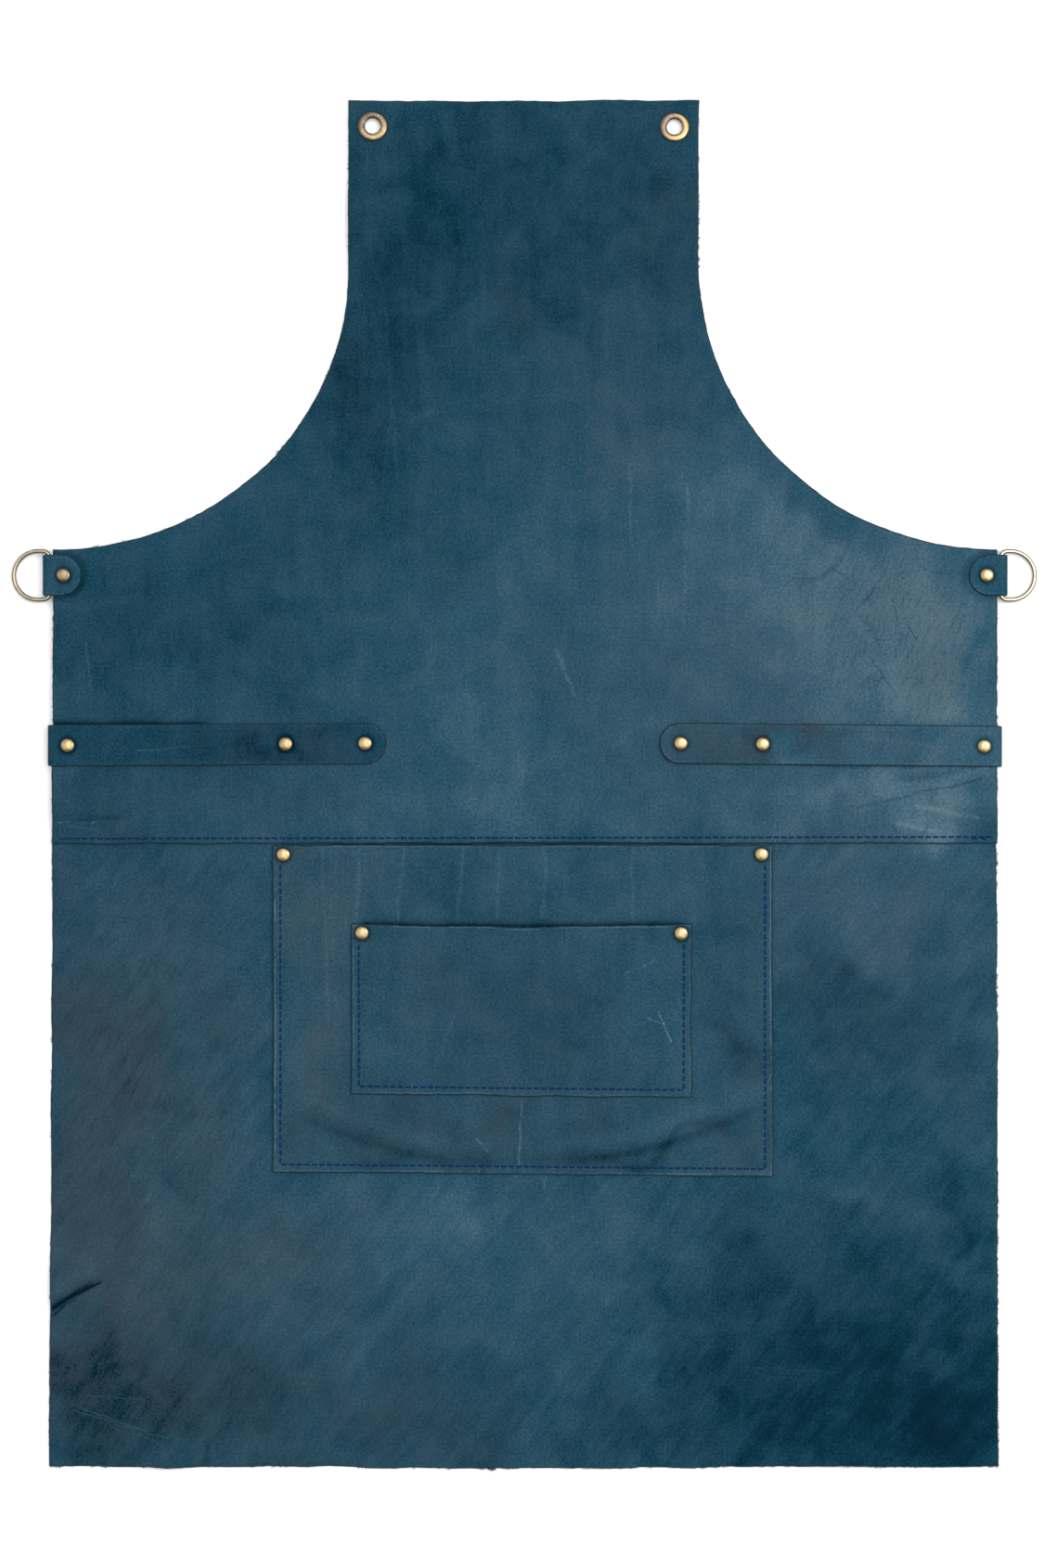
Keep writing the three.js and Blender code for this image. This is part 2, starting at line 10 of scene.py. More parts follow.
import bpy
import numpy as np
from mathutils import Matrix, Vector


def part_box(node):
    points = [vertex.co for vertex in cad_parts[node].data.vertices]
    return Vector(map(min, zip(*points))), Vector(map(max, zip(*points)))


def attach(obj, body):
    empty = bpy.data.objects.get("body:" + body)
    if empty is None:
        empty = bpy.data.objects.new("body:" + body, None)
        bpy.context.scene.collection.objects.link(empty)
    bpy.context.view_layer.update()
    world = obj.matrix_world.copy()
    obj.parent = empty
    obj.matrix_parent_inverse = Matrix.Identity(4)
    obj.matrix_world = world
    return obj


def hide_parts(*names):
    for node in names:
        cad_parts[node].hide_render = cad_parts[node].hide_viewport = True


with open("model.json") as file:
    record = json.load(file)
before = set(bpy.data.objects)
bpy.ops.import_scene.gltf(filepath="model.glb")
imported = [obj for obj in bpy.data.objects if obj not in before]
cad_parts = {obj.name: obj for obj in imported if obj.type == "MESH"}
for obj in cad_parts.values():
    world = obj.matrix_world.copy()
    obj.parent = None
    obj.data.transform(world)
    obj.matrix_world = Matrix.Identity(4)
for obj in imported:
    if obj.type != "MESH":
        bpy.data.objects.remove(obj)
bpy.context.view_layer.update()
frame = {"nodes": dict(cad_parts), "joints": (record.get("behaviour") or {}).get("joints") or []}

# %% [markdown]
# The camera hangs straight above the apron, as a copy stand holds it. A long lens from three metres up keeps
# the sides of the straps and rings out of sight. Every size below is in millimetres, because leather is cut
# in millimetres, and one helper turns them into metres when a mesh is made.

# %% Camera
MM = 0.001
PHOTO_SIZE = (1125, 1690)  # pixels
PIXEL = 0.58708  # millimetres of apron under one pixel
APRON_MIDDLE = (565.0, 844.5)  # pixel that the apron's origin falls on
CAMERA_HEIGHT = 3.0  # metres
SENSOR = 36.0


def hang_camera():
    camera = bpy.data.objects.new("camera", bpy.data.cameras.new("camera"))
    x = (PHOTO_SIZE[0] / 2 - APRON_MIDDLE[0]) * PIXEL
    y = (APRON_MIDDLE[1] - PHOTO_SIZE[1] / 2) * PIXEL
    camera.location = (x * MM, y * MM, CAMERA_HEIGHT)
    camera.data.sensor_width = SENSOR
    camera.data.lens = SENSOR * CAMERA_HEIGHT / (PHOTO_SIZE[1] * PIXEL * MM)
    bpy.context.scene.collection.objects.link(camera)
    bpy.context.scene.camera = camera
    return camera


print("camera: lens", round(hang_camera().data.lens, 1), "mm")

# %% [markdown]
# A finish in Blender is a small network of nodes. A few helpers keep the networks short: one adds a node and
# feeds its sockets, one does sums, one gives cloudy noise of a size in millimetres, and one turns a number
# into a colour. A number that is the same all over a surface goes straight onto the shader's socket.

# %% Helpers for finishes
def add_node(tree, kind, sockets=None, **settings):
    """A new node; each socket gets a value, or the output that feeds it."""
    node = tree.nodes.new(kind)
    for name, value in settings.items():
        setattr(node, name, value)
    for name, value in (sockets or {}).items():
        if isinstance(value, bpy.types.NodeSocket):
            tree.links.new(value, node.inputs[name])
        else:
            node.inputs[name].default_value = value
    return node


def sums(tree, operation, *terms, clamp=False):
    """One arithmetic step between numbers and outputs."""
    node = add_node(tree, "ShaderNodeMath", dict(enumerate(terms)), operation=operation, use_clamp=clamp)
    return node.outputs[0]


def noise(tree, where, size, detail=2.0, roughness=0.5, distortion=0.0, flat=False):
    """Cloudy noise between 0 and 1 whose lumps are about `size` millimetres across."""
    sockets = {"Vector": where, "Scale": 1 / (size * MM), "Detail": detail, "Roughness": roughness}
    sockets["Distortion"] = distortion
    dimensions = "2D" if flat else "3D"
    return add_node(tree, "ShaderNodeTexNoise", sockets, noise_dimensions=dimensions).outputs["Fac"]


def ramp(tree, value, stops):
    """A colour for each value, from (place, colour) stops."""
    node = add_node(tree, "ShaderNodeValToRGB", {"Fac": value})
    elements = node.color_ramp.elements
    while len(elements) < len(stops):
        elements.new(1.0)
    for element, (place, colour) in zip(elements, stops):
        element.position = place
        element.color = (*colour, 1.0)
    return node.outputs["Color"]


def new_finish(name, shader):
    """A material with one shader; returns it with its tree, its shader and the place on the piece."""
    material = bpy.data.materials.new(name)
    material.use_nodes = True
    tree = material.node_tree
    tree.nodes.clear()
    surface = add_node(tree, "ShaderNodeBsdfPrincipled", shader)
    add_node(tree, "ShaderNodeOutputMaterial", {"Surface": surface.outputs[0]})
    where = add_node(tree, "ShaderNodeTexCoord").outputs["Object"]
    return material, tree, surface, where


print("helpers ready")

# %% [markdown]
# The table is a plain pale board, a little uneven in its white. It reaches so far that no view sees its end,
# and it lies a hair below the apron, so that no two faces fight.

# %% Table
FLOOR_DROP = 0.3
FLOOR_SPAN = 600.0  # metres
BOARD = {"Roughness": 0.75, "Specular IOR Level": 0.2}
BOARD_CLOUD = 400.0
BOARD_STOPS = [(0.3, (0.885, 0.885, 0.885)), (0.7, (0.905, 0.905, 0.905))]


def plain_table():
    half = FLOOR_SPAN / 2
    z = -FLOOR_DROP * MM
    corners = [(-half, -half, z), (half, -half, z), (half, half, z), (-half, half, z)]
    mesh = bpy.data.meshes.new("table")
    mesh.from_pydata(corners, [], [(0, 1, 2, 3)])
    table = bpy.data.objects.new("table", mesh)
    bpy.context.scene.collection.objects.link(table)
    material, tree, surface, where = new_finish("white_board", BOARD)
    tint = ramp(tree, noise(tree, where, BOARD_CLOUD), BOARD_STOPS)
    tree.links.new(tint, surface.inputs["Base Color"])
    mesh.materials.append(material)
    return table


table = plain_table()
print("table:", FLOOR_DROP, "mm under the apron")

# %% [markdown]
# Two wide soft suns light the table evenly. The stronger one comes from the upper right, so the shadow of
# each edge falls to the lower left. A soft box hangs over the right side and gives the waxed leather its
# sheen there. The sky is dark near the table, which keeps the sides of the metal dark.

# %% Light
SUNS = [
    # name, degrees from +X towards +Y, degrees above the table, strength, softness in degrees
    ("key_sun", 12, 62, 1.88, 70),
    ("fill_sun", 150, 58, 1.50, 80),
]
SIDE_LAMP = {"place": (0.66, 0.20, 1.1), "aim": (0.26, 0.05, 0.0), "size": 0.5, "power": 4.2}
SKY_STOPS = [(0.5, (0.20, 0.20, 0.20)), (0.75, (0.35, 0.35, 0.35)), (1.0, (0.45, 0.45, 0.45))]


def add_lamp(name, kind, place, aim):
    lamp = bpy.data.objects.new(name, bpy.data.lights.new(name, kind))
    lamp.location = place
    lamp.rotation_mode = "QUATERNION"
    lamp.rotation_quaternion = (Vector(place) - Vector(aim)).to_track_quat("Z", "Y")
    bpy.context.scene.collection.objects.link(lamp)
    return lamp.data


def add_sun(name, turn, height, strength, softness):
    turn, height = math.radians(turn), math.radians(height)
    place = (math.cos(height) * math.cos(turn), math.cos(height) * math.sin(turn), math.sin(height))
    sun = add_lamp(name, "SUN", place, (0, 0, 0))
    sun.energy = strength
    sun.angle = math.radians(softness)


def hang_sky():
    """A sky whose brightness goes by the height of what is looked at."""
    sky = bpy.data.worlds.new("sky")
    sky.use_nodes = True
    tree = sky.node_tree
    tree.nodes.clear()
    heading = add_node(tree, "ShaderNodeTexCoord").outputs["Generated"]
    rise = add_node(tree, "ShaderNodeSeparateXYZ", {"Vector": heading}).outputs["Z"]
    share = sums(tree, "MULTIPLY_ADD", rise, 0.5, 0.5)
    glow = add_node(tree, "ShaderNodeBackground", {"Color": ramp(tree, share, SKY_STOPS)})
    add_node(tree, "ShaderNodeOutputWorld", {"Surface": glow.outputs[0]})
    bpy.context.scene.world = sky


for row in SUNS:
    add_sun(*row)
side_lamp = add_lamp("side_lamp", "AREA", SIDE_LAMP["place"], SIDE_LAMP["aim"])
side_lamp.size = SIDE_LAMP["size"]
side_lamp.energy = SIDE_LAMP["power"]
hang_sky()
bpy.context.scene.view_settings.view_transform = "Standard"
print("lamps:", len(SUNS) + 1)

# %% [markdown]
# Lying leather isn't flat. It rises over whatever is under it: the back caps of rivets, the leaves of straps
# and tabs folded to the back, and the lap of the waist seam. The same sums that shaped the frame are repeated
# here as smooth functions of a place on the apron, so each layer stays just clear of the one below it.

# %% How the leather lies
LEATHER = 1.8
GAP = 0.3  # air between two layers of leather
SEAT = 0.1  # air between leather and metal
RIVET = {"cap": 4.6, "cap_height": 1.8, "post": 1.5, "back": 4.4, "back_height": 1.1}
EYELET = {
    "hole": 4.9, "barrel": 5.6, "cut": 6.0, "flange": 9.5, "height": 1.4, "back": 8.6, "back_height": 0.9,
}
RIVET_LIFT = RIVET["back_height"] + 2 * SEAT
EYELET_LIFT = EYELET["back_height"] + 2 * SEAT
FOLD_LIFT = RIVET_LIFT + LEATHER + GAP
REST_REACH = {
    # how far from its middle a lift stays level, and where it ends
    "tab": (46, 84),
    "fold": (36, 58),
    "rivet": (36, 64),
    "eyelet": (40, 84),
}
REST_POWER = 6  # how sharply the highest of two near rests wins
SIDE_SIGN = {"left": -1, "right": 1}
LAP_Y, LAP_FADE_Y = -24.0, 0.0
RIDGES = [
    # x, y, degrees along the crest, half length, half width, height
    (-111, 352, 90, 44, 24, 2.6),
    (-229, -432, 78, 70, 26, 2.6),
    (205, -432, 104, 90, 34, 1.8),
    (-298, -318, 32, 60, 26, 2.4),
    (300, -170, 160, 80, 36, 1.8),
    (30, 235, 62, 120, 40, 1.2),
]


def middle_of(node):
    """Middle of a frame piece's box, in millimetres."""
    low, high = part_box(node)
    return np.array((low + high) / 2) / MM


def smooth(t):
    t = np.clip(t, 0, 1)
    return t * t * (3 - 2 * t)


def find_rests():
    """Everything hard under the leather: x, y, height, and how far it is level and reaches."""
    rests = []
    for side in SIDE_SIGN:
        hard = [
            (f"rivet_tab_{side}", FOLD_LIFT, "tab"),
            (f"rivet_strap_{side}_outer", FOLD_LIFT, "fold"),
            (f"rivet_strap_{side}_middle", RIVET_LIFT, "rivet"),
            (f"rivet_strap_{side}_inner", RIVET_LIFT, "rivet"),
            (f"rivet_large_pocket_{side}", RIVET_LIFT, "rivet"),
            (f"eyelet_{side}", EYELET_LIFT, "eyelet"),
        ]
        rests += [(*middle_of(node)[:2], lift, *REST_REACH[kind]) for node, lift, kind in hard]
    return rests


RESTS = find_rests()


def lay(x, y):
    """Underside of the leather that touches the table."""
    lifted = np.zeros_like(x)
    for rest_x, rest_y, height, flat, reach in RESTS:
        distance = np.hypot(x - rest_x, y - rest_y)
        lifted += (height * smooth((reach - distance) / (reach - flat))) ** REST_POWER
    lifted = lifted ** (1 / REST_POWER)
    for ridge_x, ridge_y, turn, length, width, height in RIDGES:
        cos, sin = math.cos(math.radians(turn)), math.sin(math.radians(turn))
        along = (x - ridge_x) * cos + (y - ridge_y) * sin
        across = (y - ridge_y) * cos - (x - ridge_x) * sin
        lifted += height * smooth(1 - np.abs(along) / length) * smooth(1 - np.abs(across) / width)
    return lifted


def upper_under(x, y):
    return lay(x, y) + (LEATHER + GAP) * smooth((LAP_FADE_Y - y) / (LAP_FADE_Y - LAP_Y))


print("leather rests on", len(RESTS), "hard places; highest", round(max(rest[2] for rest in RESTS), 2), "mm")

# %% [markdown]
# A hide also has life of its own: a slow waviness, and creases where it was folded. The waviness is a few
# crossed sine waves. Each crease is a row of a short table, drawn as a shallow bow with soft ends. A positive
# height is a ridge and a negative one a furrow.

# %% Waves and creases
RIPPLE_WAVES = 6
RIPPLE_SPREAD = (0.7, 1.5)  # shortest and longest wave, as shares of the size
PANEL_WAVES = [(95, 0.22, 11), (24, 0.05, 12)]  # size, height and seed
WAVE_FLOOR = -0.25  # no wave goes lower, so that the sheet stays thick
CREASE_END = 0.25  # share of its length over which a crease fades
CREASES = [
    # x and y of both ends, bow, half width, height
    (-304, -336, -266, -313, 1, 2.3, -1.30),
    (-304, -328, -262, -304, 2, 4.5, 0.80),
    (-202, -432, -200, -414, 0, 1.5, -0.5),
    (-230, -434, -226, -418, 0, 4.0, 0.8),
    (172, 126, 204, 148, -5, 1.6, -0.45),
    (204, 112, 226, 82, 4, 1.6, -0.4),
    (205, 62, 262, 78, 5, 2.2, 0.4),
    (228, 4, 292, 14, -4, 2.4, -0.5),
    (226, -16, 290, -30, 6, 2.6, 0.55),
    (-292, -26, -246, -22, 2, 1.4, -0.4),
    (-70, 300, -66, 180, 5, 3.0, 0.3),
    (-35, 110, -28, -10, -4, 3.5, 0.3),
    (-190, -150, -236, -236, 4, 2.6, -0.3),
    (-222, -140, -262, -224, -5, 2.6, -0.3),
    (150, -255, 290, -290, 8, 5.0, 0.5),
    (40, -330, -16, -430, 6, 4.0, 0.35),
]


def ripple(x, y, size, seed):
    """Slow waves about `size` millimetres long, between about -1 and 1."""
    chance = np.random.default_rng(seed)
    total = np.zeros_like(x)
    for _ in range(RIPPLE_WAVES):
        turn, phase = chance.uniform(0, 2 * math.pi, 2)
        pace = 2 * math.pi / (size * chance.uniform(*RIPPLE_SPREAD))
        total += np.sin(pace * (x * math.cos(turn) + y * math.sin(turn)) + phase)
    return total / math.sqrt(RIPPLE_WAVES)


def creased(x, y, creases):
    """Height of a table of creases at each place."""
    height = np.zeros_like(x)
    for x0, y0, x1, y1, bow, width, rise in creases:
        length = math.hypot(x1 - x0, y1 - y0)
        cos, sin = (x1 - x0) / length, (y1 - y0) / length
        t = ((x - x0) * cos + (y - y0) * sin) / length
        across = (y - y0) * cos - (x - x0) * sin - bow * 4 * t * (1 - t)
        ends = smooth(t / CREASE_END) * smooth((1 - t) / CREASE_END)
        height += rise * ends * np.exp(-((across / width) ** 2))
    return height


def panel_relief(x, y):
    waves = sum(height * ripple(x, y, size, seed) for size, height, seed in PANEL_WAVES)
    return np.maximum(waves, WAVE_FLOOR) + creased(x, y, CREASES)


print("creases:", len(CREASES))

# %% [markdown]
# Every leather piece is cut from a hide, and it is made the same way here. A square grid is laid over the
# flat pattern, the points near the knife's line are drawn onto it, and what lies outside is thrown away. The
# sheet is then doubled for its thickness, and a rounded rim joins the two sides. A remesh or a bevel could do
# this too, but the grid keeps an even mesh that takes creases well and gives each cut edge its own faces.

# %% Cut a sheet
MARGIN = 2.3  # cells of spare hide round the pattern
KNIFE_STEP = 1 / 8  # of a cell, between two points of the knife's line
SNAP = 0.5  # share of a cell within which a point is drawn onto the cut
SLIVER = 0.08  # share of a cell below which a face is dropped
EDGE_ROUND = 0.85
RIM_ROWS = [(0.35, LEATHER - 0.30), (0.05, LEATHER - 0.85), (0.0, 0.35)]  # inset and height of each row
BACK_INSET = 0.22


def densify(outline, step):
    """A closed outline with a point at least every `step`."""
    pieces = []
    for start, end in zip(outline, np.roll(outline, -1, axis=0)):
        count = max(1, math.ceil(np.hypot(*(end - start)) / step))
        pieces.append(start + (end - start) * np.arange(count)[:, None] / count)
    return np.concatenate(pieces)


def inside_cut(outlines, xs, ys):
    """Which grid points lie inside the outlines, row by row."""
    start = np.concatenate(outlines)
    end = np.concatenate([np.roll(outline, -1, axis=0) for outline in outlines])
    inside = np.zeros((len(ys), len(xs)), bool)
    for row, y in enumerate(ys):
        crossed = (start[:, 1] <= y) != (end[:, 1] <= y)
        low, high = start[crossed], end[crossed]
        at = low[:, 0] + (y - low[:, 1]) / (high[:, 1] - low[:, 1]) * (high[:, 0] - low[:, 0])
        inside[row] = np.searchsorted(np.sort(at), xs) % 2 == 1
    return inside


def cut_hide(outlines, corners, cell):
    """Flat points and faces inside the outlines."""
    low = np.concatenate(outlines).min(axis=0) - MARGIN * cell
    high = np.concatenate(outlines).max(axis=0) + MARGIN * cell
    xs = np.arange(low[0], high[0], cell)
    ys = np.arange(low[1], high[1], cell)
    kept = inside_cut(outlines, xs, ys)
    near = np.zeros_like(kept)
    for step_y in (-1, 0, 1):
        for step_x in (-1, 0, 1):
            near |= np.roll(kept, (step_y, step_x), axis=(0, 1)) != kept
    points = np.stack(np.meshgrid(xs, ys), axis=-1)
    knife = np.concatenate([densify(outline, KNIFE_STEP * cell) for outline in outlines])
    for row, column in np.argwhere(near):
        offset = knife - points[row, column]
        distance = np.hypot(offset[:, 0], offset[:, 1])
        nearest = distance.argmin()
        if distance[nearest] < SNAP * cell:
            points[row, column] = knife[nearest]
            kept[row, column] = True
    for corner in corners:
        column, row = np.rint((corner - low) / cell).astype(int)
        points[row, column] = corner
        kept[row, column] = True
    return gather_faces(points, kept, cell)


def gather_faces(points, kept, cell):
    """Quads and triangles between the kept points of a grid."""
    rows, columns = kept.shape
    flat = points.reshape(-1, 2)
    index = np.arange(rows * columns).reshape(rows, columns)
    square = (index[:-1, :-1], index[:-1, 1:], index[1:, 1:], index[1:, :-1])
    corners = np.stack(square, axis=-1).reshape(-1, 4)
    held = kept.reshape(-1)[corners]
    faces = []
    for count in (4, 3):
        chosen = held.sum(axis=1) == count
        group = corners[chosen][held[chosen]].reshape(-1, count)
        place = flat[group]
        turned_on = np.roll(place, -1, axis=1)
        area = (place[..., 0] * turned_on[..., 1] - place[..., 1] * turned_on[..., 0]).sum(axis=1) / 2
        faces += group[area > SLIVER * cell * cell].tolist()
    used = np.unique(np.concatenate([np.ravel(face) for face in faces]))
    number = np.full(rows * columns, -1)
    number[used] = np.arange(len(used))
    faces = [number[face].tolist() for face in faces]
    return flat[used], faces


def rim_loops(faces):
    """The border of a set of faces, as closed loops of points."""
    edges = set()
    for face in faces:
        edges.update(zip(face, face[1:] + face[:1]))
    following = {first: second for first, second in sorted(edges) if (second, first) not in edges}
    loops = []
    while following:
        first, point = following.popitem()
        loop = [first]
        while point != first:
            loop.append(point)
            point = following.pop(point)
        loops.append(loop)
    return loops


print("edge rounded by", EDGE_ROUND, "mm, sheet", LEATHER, "mm thick")

# %% [markdown]
# The flat pattern then becomes a piece. A `place` function says where each point of the pattern lies in space
# at a height within the thickness, so the same code serves a panel on the table and a strap bent round an
# edge. Each point also carries a small colour record: how pale the hide is there, with painted shade and
# painted highlights added in places, how brown, how wrinkled, and whether it is on the cut edge. The finish
# reads that record.

# %% Make a leather piece
SHARP_EDGE = math.radians(42)
WARP_SIZES = [(70, 13.0), (23, 5.0)]  # size of the wander of a cloud's outline, and how far it goes


def warped(x, y, seed):
    """Places shifted a little at random, so that a round cloud gets a ragged outline."""
    across, along = np.array(x), np.array(y)
    for number, (size, reach) in enumerate(WARP_SIZES):
        across = across + reach * ripple(x, y, size, seed + 2 * number)
        along = along + reach * ripple(x, y, size, seed + 2 * number + 1)
    return across, along


def clouded(x, y, clouds, base, seed):
    """Tone, warmth and wrinkle at each place from a table of soft clouds."""
    wx, wy = warped(x, y, seed)
    record = np.zeros((len(x), 3)) + base
    for cloud_x, cloud_y, half_x, half_y, turn, *change in clouds:
        cos, sin = math.cos(math.radians(turn)), math.sin(math.radians(turn))
        across = ((wx - cloud_x) * cos + (wy - cloud_y) * sin) / half_x
        along = ((wy - cloud_y) * cos - (wx - cloud_x) * sin) / half_y
        record += np.exp(-(across**2) - along**2)[:, None] * change
    return record


def show_mesh(name, points, faces):
    """A new piece from points in millimetres."""
    mesh = bpy.data.meshes.new(name)
    mesh.from_pydata((np.asarray(points) * MM).tolist(), [], faces)
    mesh.shade_smooth()
    piece = bpy.data.objects.new(name, mesh)
    bpy.context.scene.collection.objects.link(piece)
    return piece


def store(piece, name, kind, field, values):
    """A value at each point of a piece, for its finish to read."""
    layer = piece.data.attributes.new(name, kind, "POINT")
    layer.data.foreach_set(field, np.asarray(values, np.float32).ravel())


def left_of(heading):
    """Directions square to each heading, on its left."""
    return np.stack((-heading[:, 1], heading[:, 0]), axis=1) / np.hypot(*heading.T)[:, None]


def inward_of(flat, loops):
    """The way into the sheet at each point of its rim, and nothing elsewhere."""
    inward = np.zeros_like(flat)
    for loop in loops:
        inward[loop] = left_of(np.roll(flat[loop], -1, axis=0) - np.roll(flat[loop], 1, axis=0))
    return inward


def rim_faces(loops, rows):
    """Faces that join each row of rim points to the next row."""
    faces = []
    start = 0
    for loop in loops:
        here = np.arange(start, start + len(loop))
        ahead = np.roll(here, -1)
        for upper, lower in zip(rows, rows[1:]):
            faces += np.stack((upper[here], lower[here], lower[ahead], upper[ahead]), axis=1).tolist()
        start += len(loop)
    return faces


def leather_piece(name, outlines, corners, cell, place, colour, finishes):
    """A closed leather sheet: `place` bends the pattern, `colour` gives the record of each point."""
    flat, faces = cut_hide(outlines, corners, cell)
    loops = rim_loops(faces)
    rim = np.concatenate(loops)
    inward = inward_of(flat, loops)
    patterns = [flat + EDGE_ROUND * inward]
    patterns += [(flat + inset * inward)[rim] for inset, _ in RIM_ROWS]
    patterns.append(flat + BACK_INSET * inward)
    heights = [LEATHER, *(height for _, height in RIM_ROWS), 0.0]
    points = np.concatenate([place(pattern, height) for pattern, height in zip(patterns, heights)])

    back = len(flat) + len(rim) * len(RIM_ROWS)
    rows = [rim]
    rows += [len(flat) + len(rim) * row + np.arange(len(rim)) for row in range(len(RIM_ROWS))]
    rows.append(back + rim)
    back_faces = [[back + point for point in reversed(face)] for face in faces]
    edge_faces = rim_faces(loops, rows)
    piece = show_mesh(name, points, faces + back_faces + edge_faces)
    sides = np.repeat((0, 1, 2), (len(faces), len(back_faces), len(edge_faces)))
    piece.data.polygons.foreach_set("material_index", sides.astype(np.int32))
    piece.data.set_sharp_from_angle(angle=SHARP_EDGE)
    for finish in finishes:
        piece.data.materials.append(finish)

    pattern = np.concatenate(patterns)
    edge = np.zeros(len(points))
    edge[np.concatenate(rows)] = 1
    store(piece, "hide", "FLOAT_COLOR", "color", np.column_stack((colour(pattern), edge)))
    store(piece, "pattern", "FLOAT_VECTOR", "vector", np.column_stack((pattern, np.zeros(len(points)))) * MM)
    print(name, len(points), "points,", len(loops), "cut edges")
    return piece


def dress(piece, slot, *nodes, body="apron"):
    """Hang a finished piece on its body, in the place of the frame's plain pieces."""
    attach(piece, body)
    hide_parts(*nodes)
    return piece


print("layers of points in a sheet:", len(RIM_ROWS) + 2)

# %% [markdown]
# A scratch in waxed leather is a thin pale line, or a dark one. Each is a row of a table with its two ends,
# and one reusable node works out how near a place is to the line between them. The places are first shifted
# a little by noise, so that a scratch bends, and a finer noise breaks it up.

# %% Scratches
SCRATCH_SOCKETS = {
    "Place": "Vector", "Start": "Vector", "Run": "Vector", "Width": "Float", "Strength": "Float",
}
SCRATCH_BEND = {"size": 16.0, "reach": 4.0}
SCRATCH_BREAK = {"size": 4.0, "gain": 2.2, "start": -0.35}
NUMBER_STEPS = ("DOT_PRODUCT", "LENGTH")


def steps(tree, operation, *terms, **sockets):
    """One step between places; gives a place, or a number for a product or a length."""
    sockets.update(enumerate(terms))
    node = add_node(tree, "ShaderNodeVectorMath", sockets, operation=operation)
    return node.outputs["Value" if operation in NUMBER_STEPS else "Vector"]


def scratch_group():
    """A reusable node: how strongly a straight scratch marks a place."""
    group = bpy.data.node_groups.new("scratch", "ShaderNodeTree")
    for name, kind in SCRATCH_SOCKETS.items():
        group.interface.new_socket(name, in_out="INPUT", socket_type=f"NodeSocket{kind}")
    group.interface.new_socket("Mark", in_out="OUTPUT", socket_type="NodeSocketFloat")
    given = group.nodes.new("NodeGroupInput").outputs
    away = steps(group, "SUBTRACT", given["Place"], given["Start"])
    level = steps(group, "MULTIPLY", away, (1, 1, 0))
    reach = steps(group, "DOT_PRODUCT", level, given["Run"])
    span = steps(group, "DOT_PRODUCT", given["Run"], given["Run"])
    foot = steps(group, "SCALE", given["Run"], Scale=sums(group, "DIVIDE", reach, span, clamp=True))
    distance = steps(group, "LENGTH", steps(group, "SUBTRACT", level, foot))
    closeness = sums(group, "SUBTRACT", 1.0, sums(group, "DIVIDE", distance, given["Width"]), clamp=True)
    add_node(group, "NodeGroupOutput", {"Mark": sums(group, "MULTIPLY", closeness, given["Strength"])})
    return group


SCRATCH = scratch_group()


def scratched(tree, where, scratches):
    """Sum of a table of scratches, bent a little and broken up by fine noise."""
    broken = noise(tree, where, SCRATCH_BREAK["size"], flat=True)
    broken = sums(tree, "MULTIPLY_ADD", broken, SCRATCH_BREAK["gain"], SCRATCH_BREAK["start"], clamp=True)
    sockets = {"Vector": where, "Scale": 1 / (SCRATCH_BEND["size"] * MM)}
    wave = add_node(tree, "ShaderNodeTexNoise", sockets, noise_dimensions="2D").outputs["Color"]
    swing = steps(tree, "SUBTRACT", wave, (0.5, 0.5, 0.5))
    bent = steps(tree, "ADD", where, steps(tree, "SCALE", swing, Scale=SCRATCH_BEND["reach"] * MM))
    total = 0.0
    for x0, y0, x1, y1, width, strength in scratches:
        sockets = {"Place": bent, "Start": (x0 * MM, y0 * MM, 0), "Width": width * MM, "Strength": strength}
        sockets["Run"] = ((x1 - x0) * MM, (y1 - y0) * MM, 0)
        mark = add_node(tree, "ShaderNodeGroup", sockets, node_tree=SCRATCH)
        total = sums(tree, "ADD", total, mark.outputs[0])
    return sums(tree, "MULTIPLY", total, broken)


print("a scratch has", len(SCRATCH_SOCKETS), "inputs")

# %% [markdown]
# The grain of a hide has marks of many sizes: clouds as wide as a hand, mottling, streaks where it was
# drawn, folds and pores. Each is a noise of its own size. Streaks and folds are stretched in one direction,
# which turns round noise into long soft dashes.

# %% Grain
GRAIN = {
    # size in millimetres, detail, roughness and distortion of each noise
    "clouds": (64.0, 4.0, 0.55, 0.0),
    "mottle": (24.0, 5.0, 0.60, 0.3),
    "pores": (1.5, 3.0, 0.65, 0.0),
    "streaks": (8.0, 5.0, 0.70, 0.0),
    "folds": (2.3, 2.0, 0.50, 0.4),
}
STREAK_STRETCH = 6.0
WRINKLE_TURN, WRINKLE_STRETCH = 64, 5.0


def stretched(tree, where, turn, stretch):
    """Places that draw noise out along a direction, given in degrees."""
    sockets = {"Vector": where, "Rotation": (0, 0, math.radians(turn)), "Scale": (stretch, 1.0, 1.0)}
    return add_node(tree, "ShaderNodeMapping", sockets, vector_type="TEXTURE").outputs[0]


def grain_noises(tree, where, streak_turn):
    drawn = {
        "streaks": stretched(tree, where, streak_turn, STREAK_STRETCH),
        "folds": stretched(tree, where, WRINKLE_TURN, WRINKLE_STRETCH),
    }
    return {name: noise(tree, drawn.get(name, where), *sizes, flat=True) for name, sizes in GRAIN.items()}


print("noises in the grain:", sorted(GRAIN))

# %% [markdown]
# Waxed pull-up leather pales where it is stretched or rubbed and stays dark and oily elsewhere. So its
# colour starts from the piece's own clouds, adds the grain, and sends the sum through a ramp from deep teal
# to pale grey-blue. Dark hide shows less of its grain. Brown shows through where the dye is thin.

